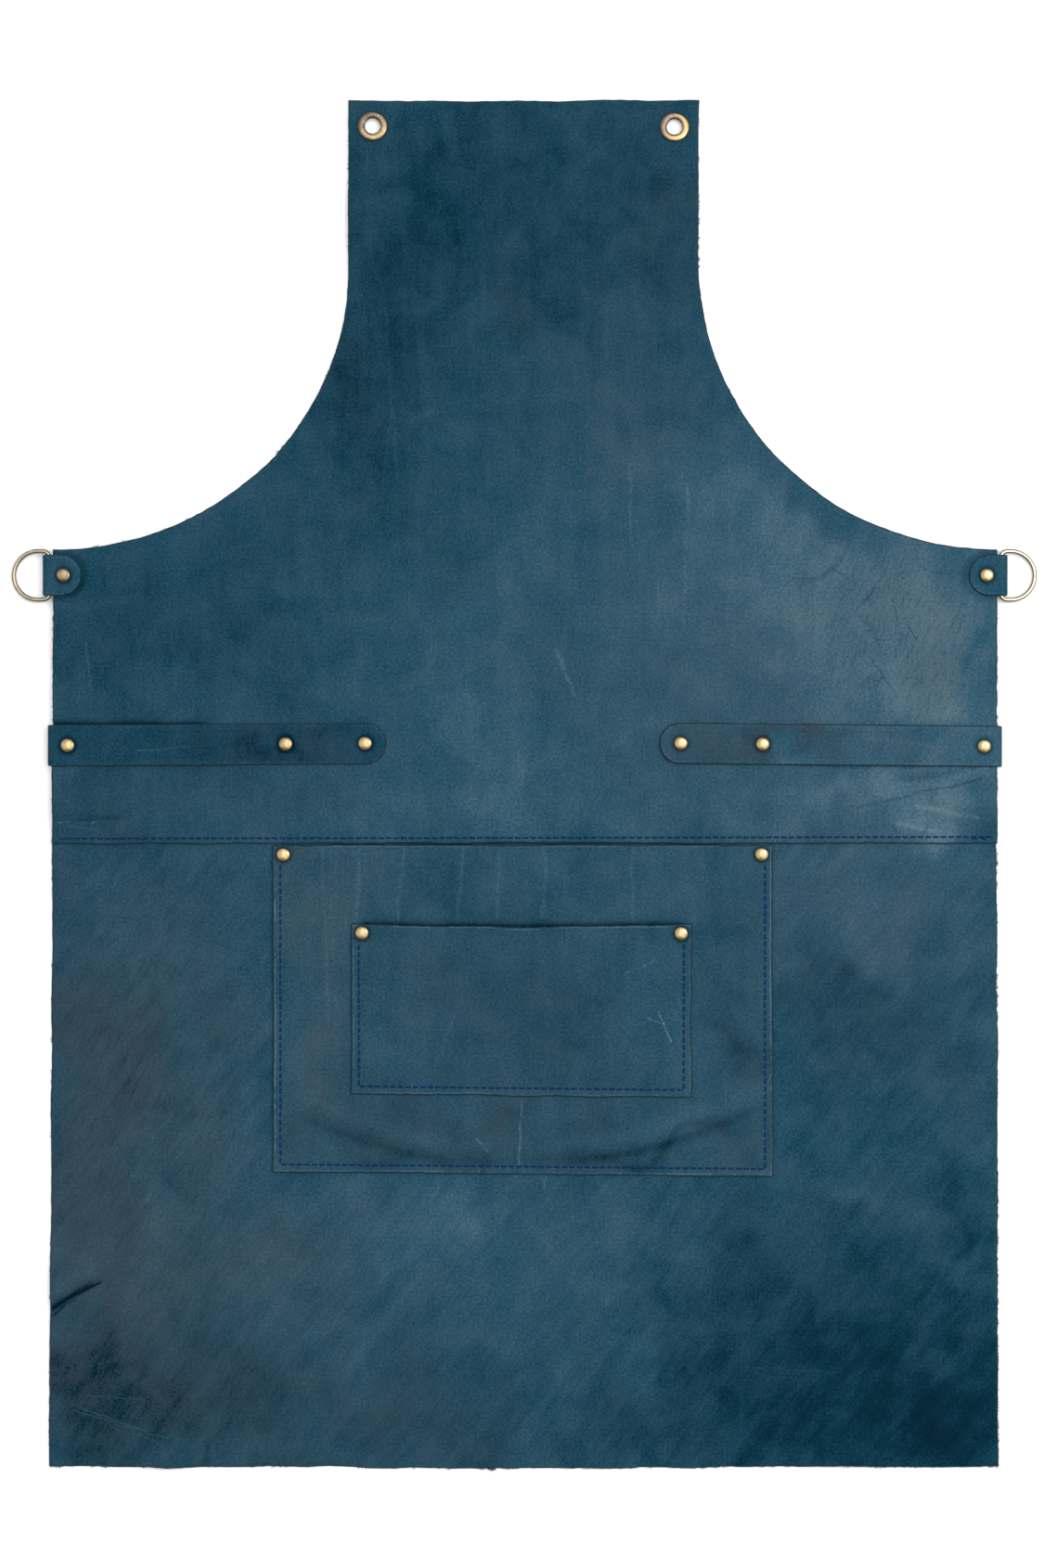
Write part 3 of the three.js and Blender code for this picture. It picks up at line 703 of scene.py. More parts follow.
# %% Tone and colour of the hide
HIDE_STOPS = [
    (0.0, (0.0001, 0.0056, 0.0120)),
    (0.15, (0.0003, 0.0144, 0.0264)),
    (0.3, (0.0044, 0.0328, 0.0568)),
    (0.45, (0.0128, 0.0512, 0.0816)),
    (0.6, (0.0252, 0.0720, 0.1088)),
    (0.75, (0.0528, 0.1056, 0.1424)),
    (1.0, (0.1000, 0.1520, 0.1864)),
]
TONE_SCALE, TONE_START = 0.6, 0.15  # a piece's tone runs a little beyond 0 and 1
BARE_HIDE = (0.044, 0.038, 0.034)  # brown where the dye is thin
BARE_SHARE = 0.38
THIN_DYE = 0.6
# the darker tone of a wrinkle is painted shade; its relief comes from the bump
TONE_CHANGE = {"clouds": 0.30, "mottle": 0.46, "pores": 1.10, "wrinkle": -0.28}
CLOUD_DEPTH = (1.5, 0.30)  # gain and start: dark hide shows less of its clouds
PORE_DEPTH = (0.8, 0.55)  # and less of its pores
BARE_DEPTH = (5.0, 0.3)  # and nothing of its brown


def centred(tree, value, gain):
    """Noise turned into a change of tone: half becomes nothing."""
    return sums(tree, "MULTIPLY", sums(tree, "SUBTRACT", value, 0.5), gain)


def mix_colours(tree, blend, share, first, second):
    node = add_node(tree, "ShaderNodeMix", data_type="RGBA", blend_type=blend)
    for index, value in ((0, share), (6, first), (7, second)):
        if isinstance(value, bpy.types.NodeSocket):
            tree.links.new(value, node.inputs[index])
        else:
            node.inputs[index].default_value = value if index == 0 else (*value, 1.0)
    return node.outputs[2]


def hide_tone(tree, grain, tone, streak_gain):
    """The tone of the piece's own clouds, changed by the grain."""
    depth = sums(tree, "MULTIPLY_ADD", tone, *CLOUD_DEPTH, clamp=True)
    fineness = sums(tree, "MULTIPLY_ADD", tone, *PORE_DEPTH, clamp=True)
    tone = sums(tree, "MULTIPLY_ADD", centred(tree, grain["clouds"], TONE_CHANGE["clouds"]), depth, tone)
    tone = sums(tree, "ADD", tone, centred(tree, grain["mottle"], TONE_CHANGE["mottle"]))
    tone = sums(tree, "ADD", tone, centred(tree, grain["streaks"], streak_gain))
    return sums(tree, "MULTIPLY_ADD", centred(tree, grain["pores"], TONE_CHANGE["pores"]), fineness, tone)


def hide_colour(tree, grain, tone, warmth):
    """Blue by its tone, with brown where the dye is thin."""
    blue = ramp(tree, sums(tree, "MULTIPLY_ADD", tone, TONE_SCALE, TONE_START), HIDE_STOPS)
    thin = sums(tree, "ADD", centred(tree, grain["mottle"], THIN_DYE), warmth, clamp=True)
    bare = sums(tree, "MULTIPLY", thin, sums(tree, "MULTIPLY_ADD", tone, *BARE_DEPTH, clamp=True))
    return mix_colours(tree, "MIX", sums(tree, "MULTIPLY", bare, BARE_SHARE), blue, BARE_HIDE)


print("stops from dark to pale hide:", len(HIDE_STOPS))

# %% [markdown]
# The whole finish joins the colour with a thin gloss of wax and with small heights: pores, pebbles, soft
# unevenness and wrinkles. A bump is enough for these, because they are far thinner than the leather. The
# wrinkles are the crests of the folds, where the piece's own record asks for them.

# %% Leather finish
WAX = {"Specular IOR Level": 0.065, "Specular Tint": (0.25, 0.75, 1.0, 1.0)}
WRINKLE_CRESTS = (6.5, -3.6)  # gain and start, which leave only the highest folds
PORE_GLOSS, CLOUD_GLOSS = (0.22, 0.36), 0.25
PEBBLE_SIZE = 1.9
RELIEF = {"pores": 0.7, "pebble": 0.25, "mottle": 1.2, "folds": 7.0, "wrinkle": -3.2}
HIDE_BUMP = {"strength": 0.55, "depth": 0.22}


def raise_bumps(tree, surface, height, strength, depth):
    """Dents a surface by a height; `depth` is in millimetres."""
    sockets = {"Strength": strength, "Distance": depth * MM, "Height": height}
    tree.links.new(add_node(tree, "ShaderNodeBump", sockets).outputs[0], surface.inputs["Normal"])


def hide_relief(tree, where, grain, wrinkled, wrinkle):
    """Height of the grain: pores, pebbles, soft unevenness and wrinkles."""
    sockets = {"Vector": where, "Scale": 1 / (PEBBLE_SIZE * MM)}
    pebble = add_node(tree, "ShaderNodeTexVoronoi", sockets, voronoi_dimensions="2D").outputs["Distance"]
    folds = sums(tree, "MULTIPLY", grain["folds"], wrinkled)
    height = sums(tree, "MULTIPLY", grain["pores"], RELIEF["pores"])
    parts = {"pebble": pebble, "mottle": grain["mottle"], "folds": folds, "wrinkle": wrinkle}
    for name, value in parts.items():
        height = sums(tree, "MULTIPLY_ADD", value, RELIEF[name], height)
    return height


def grain_side(name, shift, scratches, rim_wear_and_highlight, streak_turn=90, streak_gain=0.26):
    """The dyed, waxed face of the hide; `rim_wear_and_highlight` is the change of tone next to a cut, partly
    wear and partly a painted edge highlight.
    """
    material, tree, surface, place = new_finish(name, WAX)
    pattern = add_node(tree, "ShaderNodeAttribute", attribute_name="pattern").outputs["Vector"]
    where = add_node(tree, "ShaderNodeMapping", {"Vector": pattern, "Location": shift}).outputs[0]
    hide = add_node(tree, "ShaderNodeAttribute", attribute_name="hide").outputs
    record = add_node(tree, "ShaderNodeSeparateColor", {"Color": hide["Color"]}).outputs
    grain = grain_noises(tree, where, streak_turn)
    crests = sums(tree, "MULTIPLY_ADD", grain["folds"], *WRINKLE_CRESTS, clamp=True)
    wrinkle = sums(tree, "MULTIPLY", crests, record["Blue"])

    tone = hide_tone(tree, grain, record["Red"], streak_gain)
    tone = sums(tree, "ADD", tone, scratched(tree, place, scratches))
    # the wrinkle lines are darkened with painted shade
    tone = sums(tree, "ADD", tone, sums(tree, "MULTIPLY", wrinkle, TONE_CHANGE["wrinkle"]))
    # next to a cut the tone is raised, partly for wear and partly as a painted edge highlight
    tone = sums(tree, "MULTIPLY_ADD", hide["Alpha"], rim_wear_and_highlight, tone)
    tree.links.new(hide_colour(tree, grain, tone, record["Green"]), surface.inputs["Base Color"])
    gloss = sums(tree, "MULTIPLY_ADD", grain["pores"], *PORE_GLOSS)
    gloss = sums(tree, "ADD", gloss, centred(tree, grain["clouds"], CLOUD_GLOSS))
    tree.links.new(gloss, surface.inputs["Roughness"])
    height = hide_relief(tree, where, grain, record["Blue"], wrinkle)
    raise_bumps(tree, surface, height, **HIDE_BUMP)
    return material


print("heights in the relief:", sorted(RELIEF))

# %% [markdown]
# The back of the hide is suede, and the knife leaves raw fibres along each cut. Both take one fibrous finish
# with other sizes and colours. The four kinds of leather then differ in where they lie in the hide, in their
# scratches, and in how pale they are beside a cut, which is partly wear and partly a painted edge highlight.

# %% Suede, cut edges and the set of finishes
RAW_HIDE = {
    "flesh_side": {
        "shader": {"Roughness": 0.95, "Specular IOR Level": 0.1},
        "stops": [(0.3, (0.028, 0.044, 0.054)), (0.7, (0.068, 0.092, 0.104))],
        "fibre": 2.4, "detail": 4.0, "depth": 0.3,
    },
    "cut_edge": {
        "shader": {"Roughness": 0.85, "Specular IOR Level": 0.15},
        "stops": [(0.40, (0.0032, 0.016, 0.027)), (0.75, (0.027, 0.066, 0.090))],
        "fibre": 0.9, "detail": 3.0, "depth": 0.2,
    },
}
RAW_ROUGHNESS, RAW_BUMP = 0.7, 0.8


def raw_hide(name):
    """Fibres without wax: the suede back, or the knife's line."""
    raw = RAW_HIDE[name]
    material, tree, surface, where = new_finish(name, raw["shader"])
    fibres = noise(tree, where, raw["fibre"], raw["detail"], RAW_ROUGHNESS)
    tree.links.new(ramp(tree, fibres, raw["stops"]), surface.inputs["Base Color"])
    raise_bumps(tree, surface, fibres, RAW_BUMP, raw["depth"])
    return material


LOWER_SCRATCHES = [
    # x and y of both ends, half width, strength
    (-286, -393, -226, -414, 0.8, 0.46),
    (-284, -397, -240, -410, 0.7, 0.40),
    (-262, -407, -232, -416, 0.6, 0.36),
    (-276, -386, -240, -390, 0.7, 0.28),
    # the next two dark lines lie in the crease on the left and are painted shade
    (-304, -335, -268, -314, 1.2, -0.80),
    (-304, -339, -284, -327, 0.9, -0.60),
    (14, -249, 12, -256, 1.0, 0.60),
    (140, -369, 197, -372, 0.9, 0.18),
    (138, -386, 137, -411, 1.2, 0.15),
    (243, -397, 244, -420, 0.8, 0.16),
    (254, -329, 271, -294, 2.4, 0.12),
]
UPPER_SCRATCHES = [
    (-277, 90, -274, 60, 1.2, 0.28),
    (-295, -25, -270, -24, 0.9, 0.42),
    (-288, -27, -268, -29, 0.8, 0.32),
    (21, 84, 31, 56, 2.2, 0.40),
    (-88, 300, -80, 190, 1.8, 0.15),
    (-84, 240, -90, 180, 1.4, 0.13),
    (67, 202, 68, 150, 1.6, 0.24),
    (103, 188, 101, 98, 1.8, 0.22),
    (248, -14, 286, -22, 2.2, 0.40),
    (236, -26, 262, -30, 2.0, 0.36),
    (222, 125, 214, 114, 0.9, -0.60),
    (195, 137, 206, 130, 0.8, -0.45),
    (233, 118, 236, 101, 0.8, -0.45),
    (240, 105, 248, 91, 0.9, -0.55),
    (250, 136, 263, 133, 0.8, -0.45),
    (219, 79, 233, 59, 0.9, -0.40),
    (211, -15, 289, 3, 1.2, -0.40),
]
POCKET_SCRATCHES = [
    (84, -144, 93, -164, 0.9, 0.75),
    (78, -148, 88, -152, 0.8, 0.60),
    (60, -122, 84, -110, 0.8, 0.40),
    (-30, -224, -22, -233, 0.9, 0.70),
    (-2, -200, -3, -241, 1.2, 0.60),
    (-128, -42, -124, -150, 1.8, 0.22),
    (-104, -42, -106, -96, 1.7, 0.26),
    (-76, -42, -80, -86, 1.7, 0.26),
    (-38, -42, -42, -86, 1.7, 0.30),
    (-16, -42, -17, -84, 1.7, 0.26),
    (14, -42, 12, -84, 1.7, 0.26),
    (68, -42, 69, -86, 1.8, 0.22),
    (-44, -145, -60, -190, 1.2, 0.22),
]
STRAP_SCRATCHES = [(215, 29, 268, 22, 1.0, 0.16), (-246, 20, -212, 24, 0.9, 0.30)]
GRAIN_SIDES = {
    "upper": {"shift": (0.0, 0.0, 0.0), "scratches": UPPER_SCRATCHES, "rim_wear_and_highlight": 0.04},
    "lower": {"shift": (0.0, 0.0, 0.0), "scratches": LOWER_SCRATCHES, "rim_wear_and_highlight": 0.04,
              "streak_turn": 52, "streak_gain": 0.42},
    "pocket": {"shift": (0.7, 0.3, 0.0), "scratches": POCKET_SCRATCHES, "rim_wear_and_highlight": 0.60},
    "strap": {"shift": (-0.4, 0.9, 0.0), "scratches": STRAP_SCRATCHES, "rim_wear_and_highlight": 0.50},
}
BACK, EDGE = raw_hide("flesh_side"), raw_hide("cut_edge")
FINISH = {name: [grain_side(f"{name}_leather", **looks), BACK, EDGE] for name, looks in GRAIN_SIDES.items()}
print("leather finishes:", sorted(FINISH))

# %% [markdown]
# The bib, armholes and waist are one panel and the skirt is another, which runs on under the first as far as
# the seam. A few sizes give both outlines: straight sides, a quarter of an oval for each armhole, and a hem
# that bows and waves a little. A knife follows a pattern closely but never perfectly, so each outline also
# wanders by a few tenths of a millimetre.

# %% Panel outlines
SIDES = {
    "left": {"bib": 111.1, "waist": 297.5, "hem": 300.5, "armhole_top": 325.5},
    "right": {"bib": 110.5, "waist": 298.6, "hem": 299.6, "armhole_top": 328.4},
}
HALF_LENGTH = 432.0
WAIST_Y = 148.0
SEAM_Y = -38.0
HEM_BOW, HEM_WAVE = 0.9, 0.6  # the hem hangs a little lower in the middle, and waves
HEM_WAVE_LENGTH, HEM_SEED = 80, 77
KNIFE_WANDER = [(55, 0.30), (9, 0.13)]  # length of a wander, and how far it goes
ARMHOLE_POINTS = 90


def wandered(outline, seed):
    """An outline as the knife really cut it."""
    drift = np.zeros_like(outline)
    for axis in (0, 1):
        for number, (length, reach) in enumerate(KNIFE_WANDER):
            drift[:, axis] += reach * ripple(*outline.T, length, seed + 2 * axis + 4 * number)
    return outline + drift


def quarter_armhole(side, count=ARMHOLE_POINTS):
    """Points of one armhole, from the waist corner up to the bib."""
    sign, sizes = SIDE_SIGN[side], SIDES[side]
    angle = np.linspace(0, math.pi / 2, count)
    x = sizes["waist"] - (sizes["waist"] - sizes["bib"]) * np.sin(angle)
    y = sizes["armhole_top"] - (sizes["armhole_top"] - WAIST_Y) * np.cos(angle)
    return np.stack((sign * x, y), axis=1)


def edge_x(side, y):
    """Side edge of the panels between the waist corner and the hem."""
    sizes = SIDES[side]
    share = (WAIST_Y - y) / (WAIST_Y + HALF_LENGTH)
    return SIDE_SIGN[side] * (sizes["waist"] + (sizes["hem"] - sizes["waist"]) * share)


def hem_y(x):
    """Lower edge of the skirt."""
    straight = np.full_like(x, -HALF_LENGTH)
    hang = HEM_BOW + HEM_WAVE * ripple(x, straight, HEM_WAVE_LENGTH, HEM_SEED)
    return straight - hang * (1 - (x / SIDES["left"]["hem"]) ** 2)


def upper_corners():
    """Corners of the upper panel, anticlockwise from the left end of the seam."""
    left, right = SIDES["left"], SIDES["right"]
    return np.array([
        (edge_x("left", SEAM_Y), SEAM_Y),
        (edge_x("right", SEAM_Y), SEAM_Y),
        (right["waist"], WAIST_Y),
        (right["bib"], HALF_LENGTH),
        (-left["bib"], HALF_LENGTH),
        (-left["waist"], WAIST_Y),
    ])


def upper_outline():
    corners = upper_corners()
    right, left = quarter_armhole("right"), quarter_armhole("left")[::-1]
    return np.concatenate((corners[:2], right, corners[3:5], left))


def lower_corners():
    """Corners of the lower panel, anticlockwise from the left end of the hem."""
    return np.array([
        (-SIDES["left"]["hem"], -HALF_LENGTH),
        (SIDES["right"]["hem"], -HALF_LENGTH),
        (edge_x("right", LAP_Y), LAP_Y),
        (edge_x("left", LAP_Y), LAP_Y),
    ])


print("panels:", 2 * HALF_LENGTH, "mm long in all")

# %% [markdown]
# The hide's colours are judged from the photograph and written down as soft ovals, each with its change of
# tone, warmth and wrinkle. A ridge is stretched pale, and a furrow is darkened with painted shade. Painted
# shade also lies just above the left strap and round the end of each tab.

# %% Panel colours
# a ridge is stretched pale; the darkening of a furrow is painted shade
RIDGE_PALE, FURROW_SHADE = 0.16, 0.50  # change of tone for a millimetre of crease
SHADE_FADE = 12.0  # length over which a shade begins and ends
SHADE_UNDER = 3.0  # how far it goes in under the edge
WIDE_SHADE, WIDE_REACH = 0.14, 4.0
LINE_SHADE, LINE_REACH = 0.42, 1.8
# painted shade lies just above the top of the left strap, between these x
LEFT_STRAP = {"top": 37.6, "start": -308.0, "end": -196.0}
STRAP_WIDTH = 26.0
TAB_Y = 131.5
TAB_TIP_X = 292.0  # middle of a tab's round end
# painted shadow just outside the round end of each tab
TAB_SHADE = {"dark": 0.34, "outside": 0.8, "reach": 1.7, "span": 20.0}
PANEL_CLOUD_SEED = 31
PANEL_BASE = (0.45, 0.16, 0.06)
# the palest clouds, on the right wing and chest, also paint in part of the sheen and brighter light on that
# side
PANEL_CLOUDS = [
    # x, y, half width, half height, turn, then the change of tone, warmth and wrinkle
    (10, 370, 135, 110, 0, -0.23, 0.0, 0.0),
    (-62, 320, 60, 95, 0, -0.06, 0.0, 0.0),
    (-110, 240, 50, 64, 0, -0.22, 0.0, 0.0),
    (20, 130, 110, 85, 0, 0.13, 0.0, 0.0),
    (180, 140, 62, 50, 0, 0.18, 0.0, 0.0),
    (258, 64, 70, 96, 0, 0.36, 0.05, 0.1),
    (-180, 125, 66, 60, 0, -0.12, 0.0, 0.0),
    (20, -5, 140, 40, 0, 0.10, 0.0, 0.0),
    (115, 62, 105, 95, 0, 0.06, 0.30, 0.0),
    (-45, 165, 46, 60, 0, -0.12, 0.0, 0.0),
    (-138, 70, 40, 30, 0, -0.04, 0.0, 0.0),
    (268, 70, 26, 30, 0, 0.0, 0.3, 0.0),
    (236, -28, 16, 14, 0, -0.12, 0.0, 0.0),
    (75, 300, 42, 110, 0, 0.0, 0.10, 0.0),
    (0, -398, 85, 38, 0, -0.08, 0.0, 0.0),
    (-62, 378, 26, 40, 0, -0.11, -0.15, 0.0),
    (-47, 416, 15, 12, 0, -0.08, 0.0, 0.0),
    (-79, 331, 22, 30, 0, -0.09, 0.0, 0.0),
    (88, 340, 18, 32, 0, -0.05, 0.15, 0.0),
    (3, 304, 26, 20, 0, -0.09, 0.25, 0.0),
    (-26, 296, 18, 14, 0, 0.10, 0.0, 0.0),
    (-97, 261, 18, 22, 0, -0.08, 0.1, 0.0),
    (-109, 202, 16, 20, 0, -0.02, 0.05, 0.0),
    (44, 243, 42, 36, 0, 0.05, 0.25, 0.0),
    (118, 180, 30, 26, 0, 0.20, 0.1, 0.0),
    (80, 214, 30, 20, 0, 0.12, 0.3, 0.0),
    (150, 138, 40, 30, 0, 0.16, 0.1, 0.1),
    (180, 176, 14, 12, 0, -0.12, 0.0, 0.0),
    (200, 156, 30, 12, -30, 0.20, 0.25, 0.1),
    (228, 116, 56, 34, 0, 0.17, 0.3, 0.5),
    (292, 100, 8, 18, 0, -0.22, -0.3, 0.0),
    (262, 92, 20, 28, 0, 0.14, 0.2, 0.3),
    (135, 70, 50, 26, 0, 0.14, 0.15, 0.1),
    (230, 60, 44, 22, 0, 0.20, 0.15, 0.5),
    (268, 52, 24, 12, 30, 0.26, 0.1, 0.3),
    (21, 73, 9, 14, 0, 0.12, 0.3, 0.0),
    (-32, 44, 30, 36, 0, 0.14, 0.0, 0.0),
    (-44, 91, 20, 26, 0, 0.10, 0.0, 0.0),
    (-15, -15, 42, 18, 0, 0.16, 0.0, 0.0),
    (-250, 97, 42, 46, 0, -0.14, 0.0, 0.1),
    (-287, 55, 12, 32, 0, -0.12, 0.0, 0.0),
    (-267, -15, 28, 20, 0, -0.12, 0.15, 0.2),
    (-114, -21, 32, 14, 0, 0.10, 0.15, 0.0),
    (-165, -3, 60, 15, 0, -0.04, 0.2, 0.0),
    (257, -9, 24, 22, 0, 0.36, 0.1, 0.5),
    (186, -20, 52, 17, 0, 0.36, 0.3, 0.2),
    (284, 3, 9, 10, 0, -0.40, -0.2, 0.0),
    (-244, -80, 52, 40, 0, 0.03, 0.2, 0.1),
    (-196, -124, 20, 42, 0, 0.04, 0.3, 0.0),
    (-276, -265, 44, 105, 0, 0.0, 0.5, 0.0),
    (-267, -156, 34, 46, 0, -0.02, 0.3, 0.1),
    (-262, -205, 48, 86, 0, -0.02, 0.45, 0.55),
    (-240, -240, 84, 180, 0, 0.0, 0.22, 0.1),
    (-276, -374, 24, 26, 0, -0.20, 0.2, 0.1),
    (-246, -396, 78, 42, 0, -0.28, 0.25, 0.1),
    (-95, -398, 72, 36, 0, -0.04, 0.4, 0.0),
    (-214, -373, 34, 28, 0, -0.06, 0.2, 0.1),
    (-173, -388, 46, 36, 0, -0.02, 0.15, 0.1),
    (-235, -273, 16, 18, 0, 0.14, 0.0, 0.2),
    (-208, -225, 30, 30, 0, 0.08, 0.2, 0.25),
    (-200, -312, 80, 30, 20, 0.06, 0.55, 0.2),
    (-126, -314, 42, 40, 0, 0.07, 0.3, 0.0),
    (-50, -285, 140, 40, 0, 0.05, 0.0, 0.0),
    (-130, -262, 60, 16, 0, 0.07, 0.0, 0.0),
    (-172, -172, 14, 50, 0, 0.06, 0.1, 0.0),
    (-40, -279, 38, 26, 0, 0.22, 0.0, 0.0),
    (-26, -322, 48, 30, 0, 0.12, 0.0, 0.0),
    (46, -285, 46, 40, 0, 0.10, 0.1, 0.0),
    (44, -373, 15, 52, -35, 0.12, 0.0, 0.1),
    (-3, -402, 9, 32, -25, 0.14, 0.0, 0.1),
    (-50, -412, 32, 12, 0, -0.12, 0.0, 0.0),
    (205, -352, 110, 78, 0, -0.29, -0.10, 0.0),
    (232, -408, 120, 44, 0, -0.24, -0.15, 0.0),
    (286, -396, 44, 52, 0, -0.20, -0.1, 0.0),
    (160, -308, 46, 30, 0, -0.08, 0.10, 0.0),
    (105, -395, 44, 46, 0, -0.16, 0.05, 0.0),
    (280, -267, 16, 26, 0, -0.30, -0.2, 0.0),
    (282, -322, 14, 18, 0, 0.04, 0.0, 0.0),
    (268, -248, 26, 22, 0, -0.08, 0.0, 0.0),
    (200, -68, 44, 28, 0, 0.13, 0.4, 0.0),
    (255, -68, 32, 20, 0, 0.08, 0.25, 0.1),
    (225, -135, 75, 60, 0, 0.0, 0.22, 0.0),
    (235, -97, 46, 18, 20, 0.16, 0.35, 0.1),
    (188, -138, 32, 13, 0, -0.14, 0.1, 0.0),
    (246, -150, 36, 15, 0, -0.09, 0.0, 0.1),
    (262, -191, 30, 14, 0, 0.08, 0.3, 0.1),
    (205, -190, 64, 60, 0, -0.11, -0.1, 0.0),
    (210, -262, 48, 13, -8, 0.10, 0.2, 0.0),
]


def pulled(x, y, creases):
    """Change of tone along creases: a ridge is stretched pale, and a furrow is darkened with painted shade.
    """
    height = creased(x, y, creases)
    return np.maximum(height, 0) * RIDGE_PALE + np.minimum(height, 0) * FURROW_SHADE


def painted_shade_above(x, y, line_y, start, end):
    """Painted shade just above an edge that lies on the leather, from one x to another."""
    above = y - line_y
    along = smooth((x - start) / SHADE_FADE) * smooth((end - x) / SHADE_FADE)
    wide = WIDE_SHADE * np.exp(-np.abs(above) / WIDE_REACH)
    line = LINE_SHADE * np.exp(-((above / LINE_REACH) ** 2))
    return -along * (above > -SHADE_UNDER) * (wide + line)


def painted_shadow_round_tab(x, y, sign):
    """Painted shadow just outside the round end of the tab on one side."""
    inward = np.maximum(TAB_TIP_X - sign * x, 0)
    outside = np.hypot(inward, y - TAB_Y) - STRAP_WIDTH / 2
    rim = np.exp(-(((outside - TAB_SHADE["outside"]) / TAB_SHADE["reach"]) ** 2))
    return -TAB_SHADE["dark"] * rim * (sign * x > TAB_TIP_X - TAB_SHADE["span"])


def panel_colour(pattern):
    x, y = pattern.T
    record = clouded(x, y, PANEL_CLOUDS, PANEL_BASE, PANEL_CLOUD_SEED)
    # creases: ridges paler, furrows darkened with painted shade
    record[:, 0] += pulled(x, y, CREASES)
    # painted shade just above the left strap
    record[:, 0] += painted_shade_above(x, y, LEFT_STRAP["top"], LEFT_STRAP["start"], LEFT_STRAP["end"])
    # painted shadow round the end of each tab
    for sign in SIDE_SIGN.values():
        record[:, 0] += painted_shadow_round_tab(x, y, sign)
    return record


print("clouds on the panels:", len(PANEL_CLOUDS))

# %% [markdown]
# Both panels are cut with the same tools and laid on the table. The upper one also gets a hole for each
# eyelet, and the lower one's straight bottom is drawn onto the waving line of the hem.

# %% Cut the panels
OUTLINE_STEP = 1.0
PANEL_CELL = {"upper": 2.2, "lower": 2.4}
KNIFE_SEED = {"upper": 51, "lower": 71}


def circle(x, y, radius, count=48):
    angle = np.linspace(0, -2 * math.pi, count, endpoint=False)
    return np.stack((x + radius * np.cos(angle), y + radius * np.sin(angle)), axis=1)


def on_table(under, relief):
    """Lays a flat pattern on the table; relief shows on its upper side only."""
    def place(pattern, height):
        x, y = pattern.T
        raised = relief(x, y) * (height / LEATHER)
        return np.stack((x, y, under(x, y) + height + raised), axis=1)
    return place


def cut_panel(level, outlines, corners, under):
    corners = wandered(corners, KNIFE_SEED[level])
    place = on_table(under, panel_relief)
    name = f"{level}_panel_leather"
    return leather_piece(name, outlines, corners, PANEL_CELL[level], place, panel_colour, FINISH[level])


def cut_upper_panel():
    holes = [circle(*middle_of(f"eyelet_{side}")[:2], EYELET["cut"]) for side in SIDE_SIGN]
    outline = wandered(densify(upper_outline(), OUTLINE_STEP), KNIFE_SEED["upper"])
    return cut_panel("upper", [outline, *holes], upper_corners(), upper_under)


def cut_lower_panel():
    outline = densify(lower_corners(), OUTLINE_STEP)
    on_hem = outline[:, 1] < -HALF_LENGTH + OUTLINE_STEP / 2
    outline[on_hem, 1] = hem_y(outline[on_hem, 0])
    return cut_panel("lower", [wandered(outline, KNIFE_SEED["lower"])], lower_corners(), lay)


upper_panel = dress(cut_upper_panel(), "panel_leather", "upper_panel")
lower_panel = dress(cut_lower_panel(), "panel_leather", "lower_panel")

# %% [markdown]
# Two open-topped pockets sit on the skirt, the small one sewn to the front of the large one. Stitches hold
# three sides down and the slack between them lets the mouth stand open. Where that slack ends, the large
# pocket sags into a curved fold. The leather is also drawn down a little along each row of stitches.

# %% Pockets
POCKETS = {
    "large": {"left": -159.0, "right": 157.0, "top": -38.8, "bottom": (-245.5, -248.5), "gape": 6.5,
              "fold_middle": -238.0, "fold_side": -200.0, "cell": 1.7, "dip": 0.0},
    "small": {"left": -109.3, "right": 105.5, "top": -88.4, "bottom": (-196.0, -198.4), "gape": 6.2,
              "fold_middle": -190.0, "fold_side": -186.0, "cell": 1.4, "dip": 1.6},
}
GAPE_POWER = 1.2
STITCH_INSET = 4.9  # from a pocket's edge to its stitches
STITCH_DENT, STITCH_DENT_WIDTH = 0.28, 1.5
POCKET_CREASES = [
    (-150, -196, -40, -229, -5, 6.5, 0.8),
    (-80, -228, 70, -225, -4, 7.0, 0.6),
    (20, -230, 158, -190, -7, 6.5, 0.9),
    (-146, -207, -40, -238, -6, 3.2, -0.50),
    (-80, -236, 70, -233, -4, 3.6, -0.36),
    (20, -240, 158, -199, -8, 3.2, -0.62),
    (108, -166, 158, -174, 3, 5.0, -0.25),
]


def pocket_across(pocket, x):
    """Place across a pocket, from -1 at its left side to 1 at its right."""
    middle = (pocket["left"] + pocket["right"]) / 2
    return np.clip((x - middle) / (pocket["right"] - middle), -1, 1)


def gape(pocket, x, y):
    """How far a pocket's front stands off what is behind it."""
    across = pocket_across(pocket, x)
    fold = pocket["fold_middle"] + (pocket["fold_side"] - pocket["fold_middle"]) * across**2
    up = np.clip((y - fold) / (pocket["top"] - fold), 0, 1)
    return pocket["gape"] * (1 - across**2) ** GAPE_POWER * up * (2 - up)


def pocket_mouth(pocket, x):
    """Upper edge of a pocket, which dips in the middle where it stands open."""
    return pocket["top"] - pocket["dip"] * (1 - pocket_across(pocket, x) ** 2)


def pocket_bottom(pocket, x):
    return np.interp(x, (pocket["left"], pocket["right"]), pocket["bottom"])


def stitch_dent(pocket, x, y):
    """The shallow groove along a pocket's stitches."""
    from_side = np.minimum(x - pocket["left"], pocket["right"] - x)
    inset = np.minimum(from_side, y - pocket_bottom(pocket, x))
    return -STITCH_DENT * np.exp(-(((inset - STITCH_INSET) / STITCH_DENT_WIDTH) ** 2))


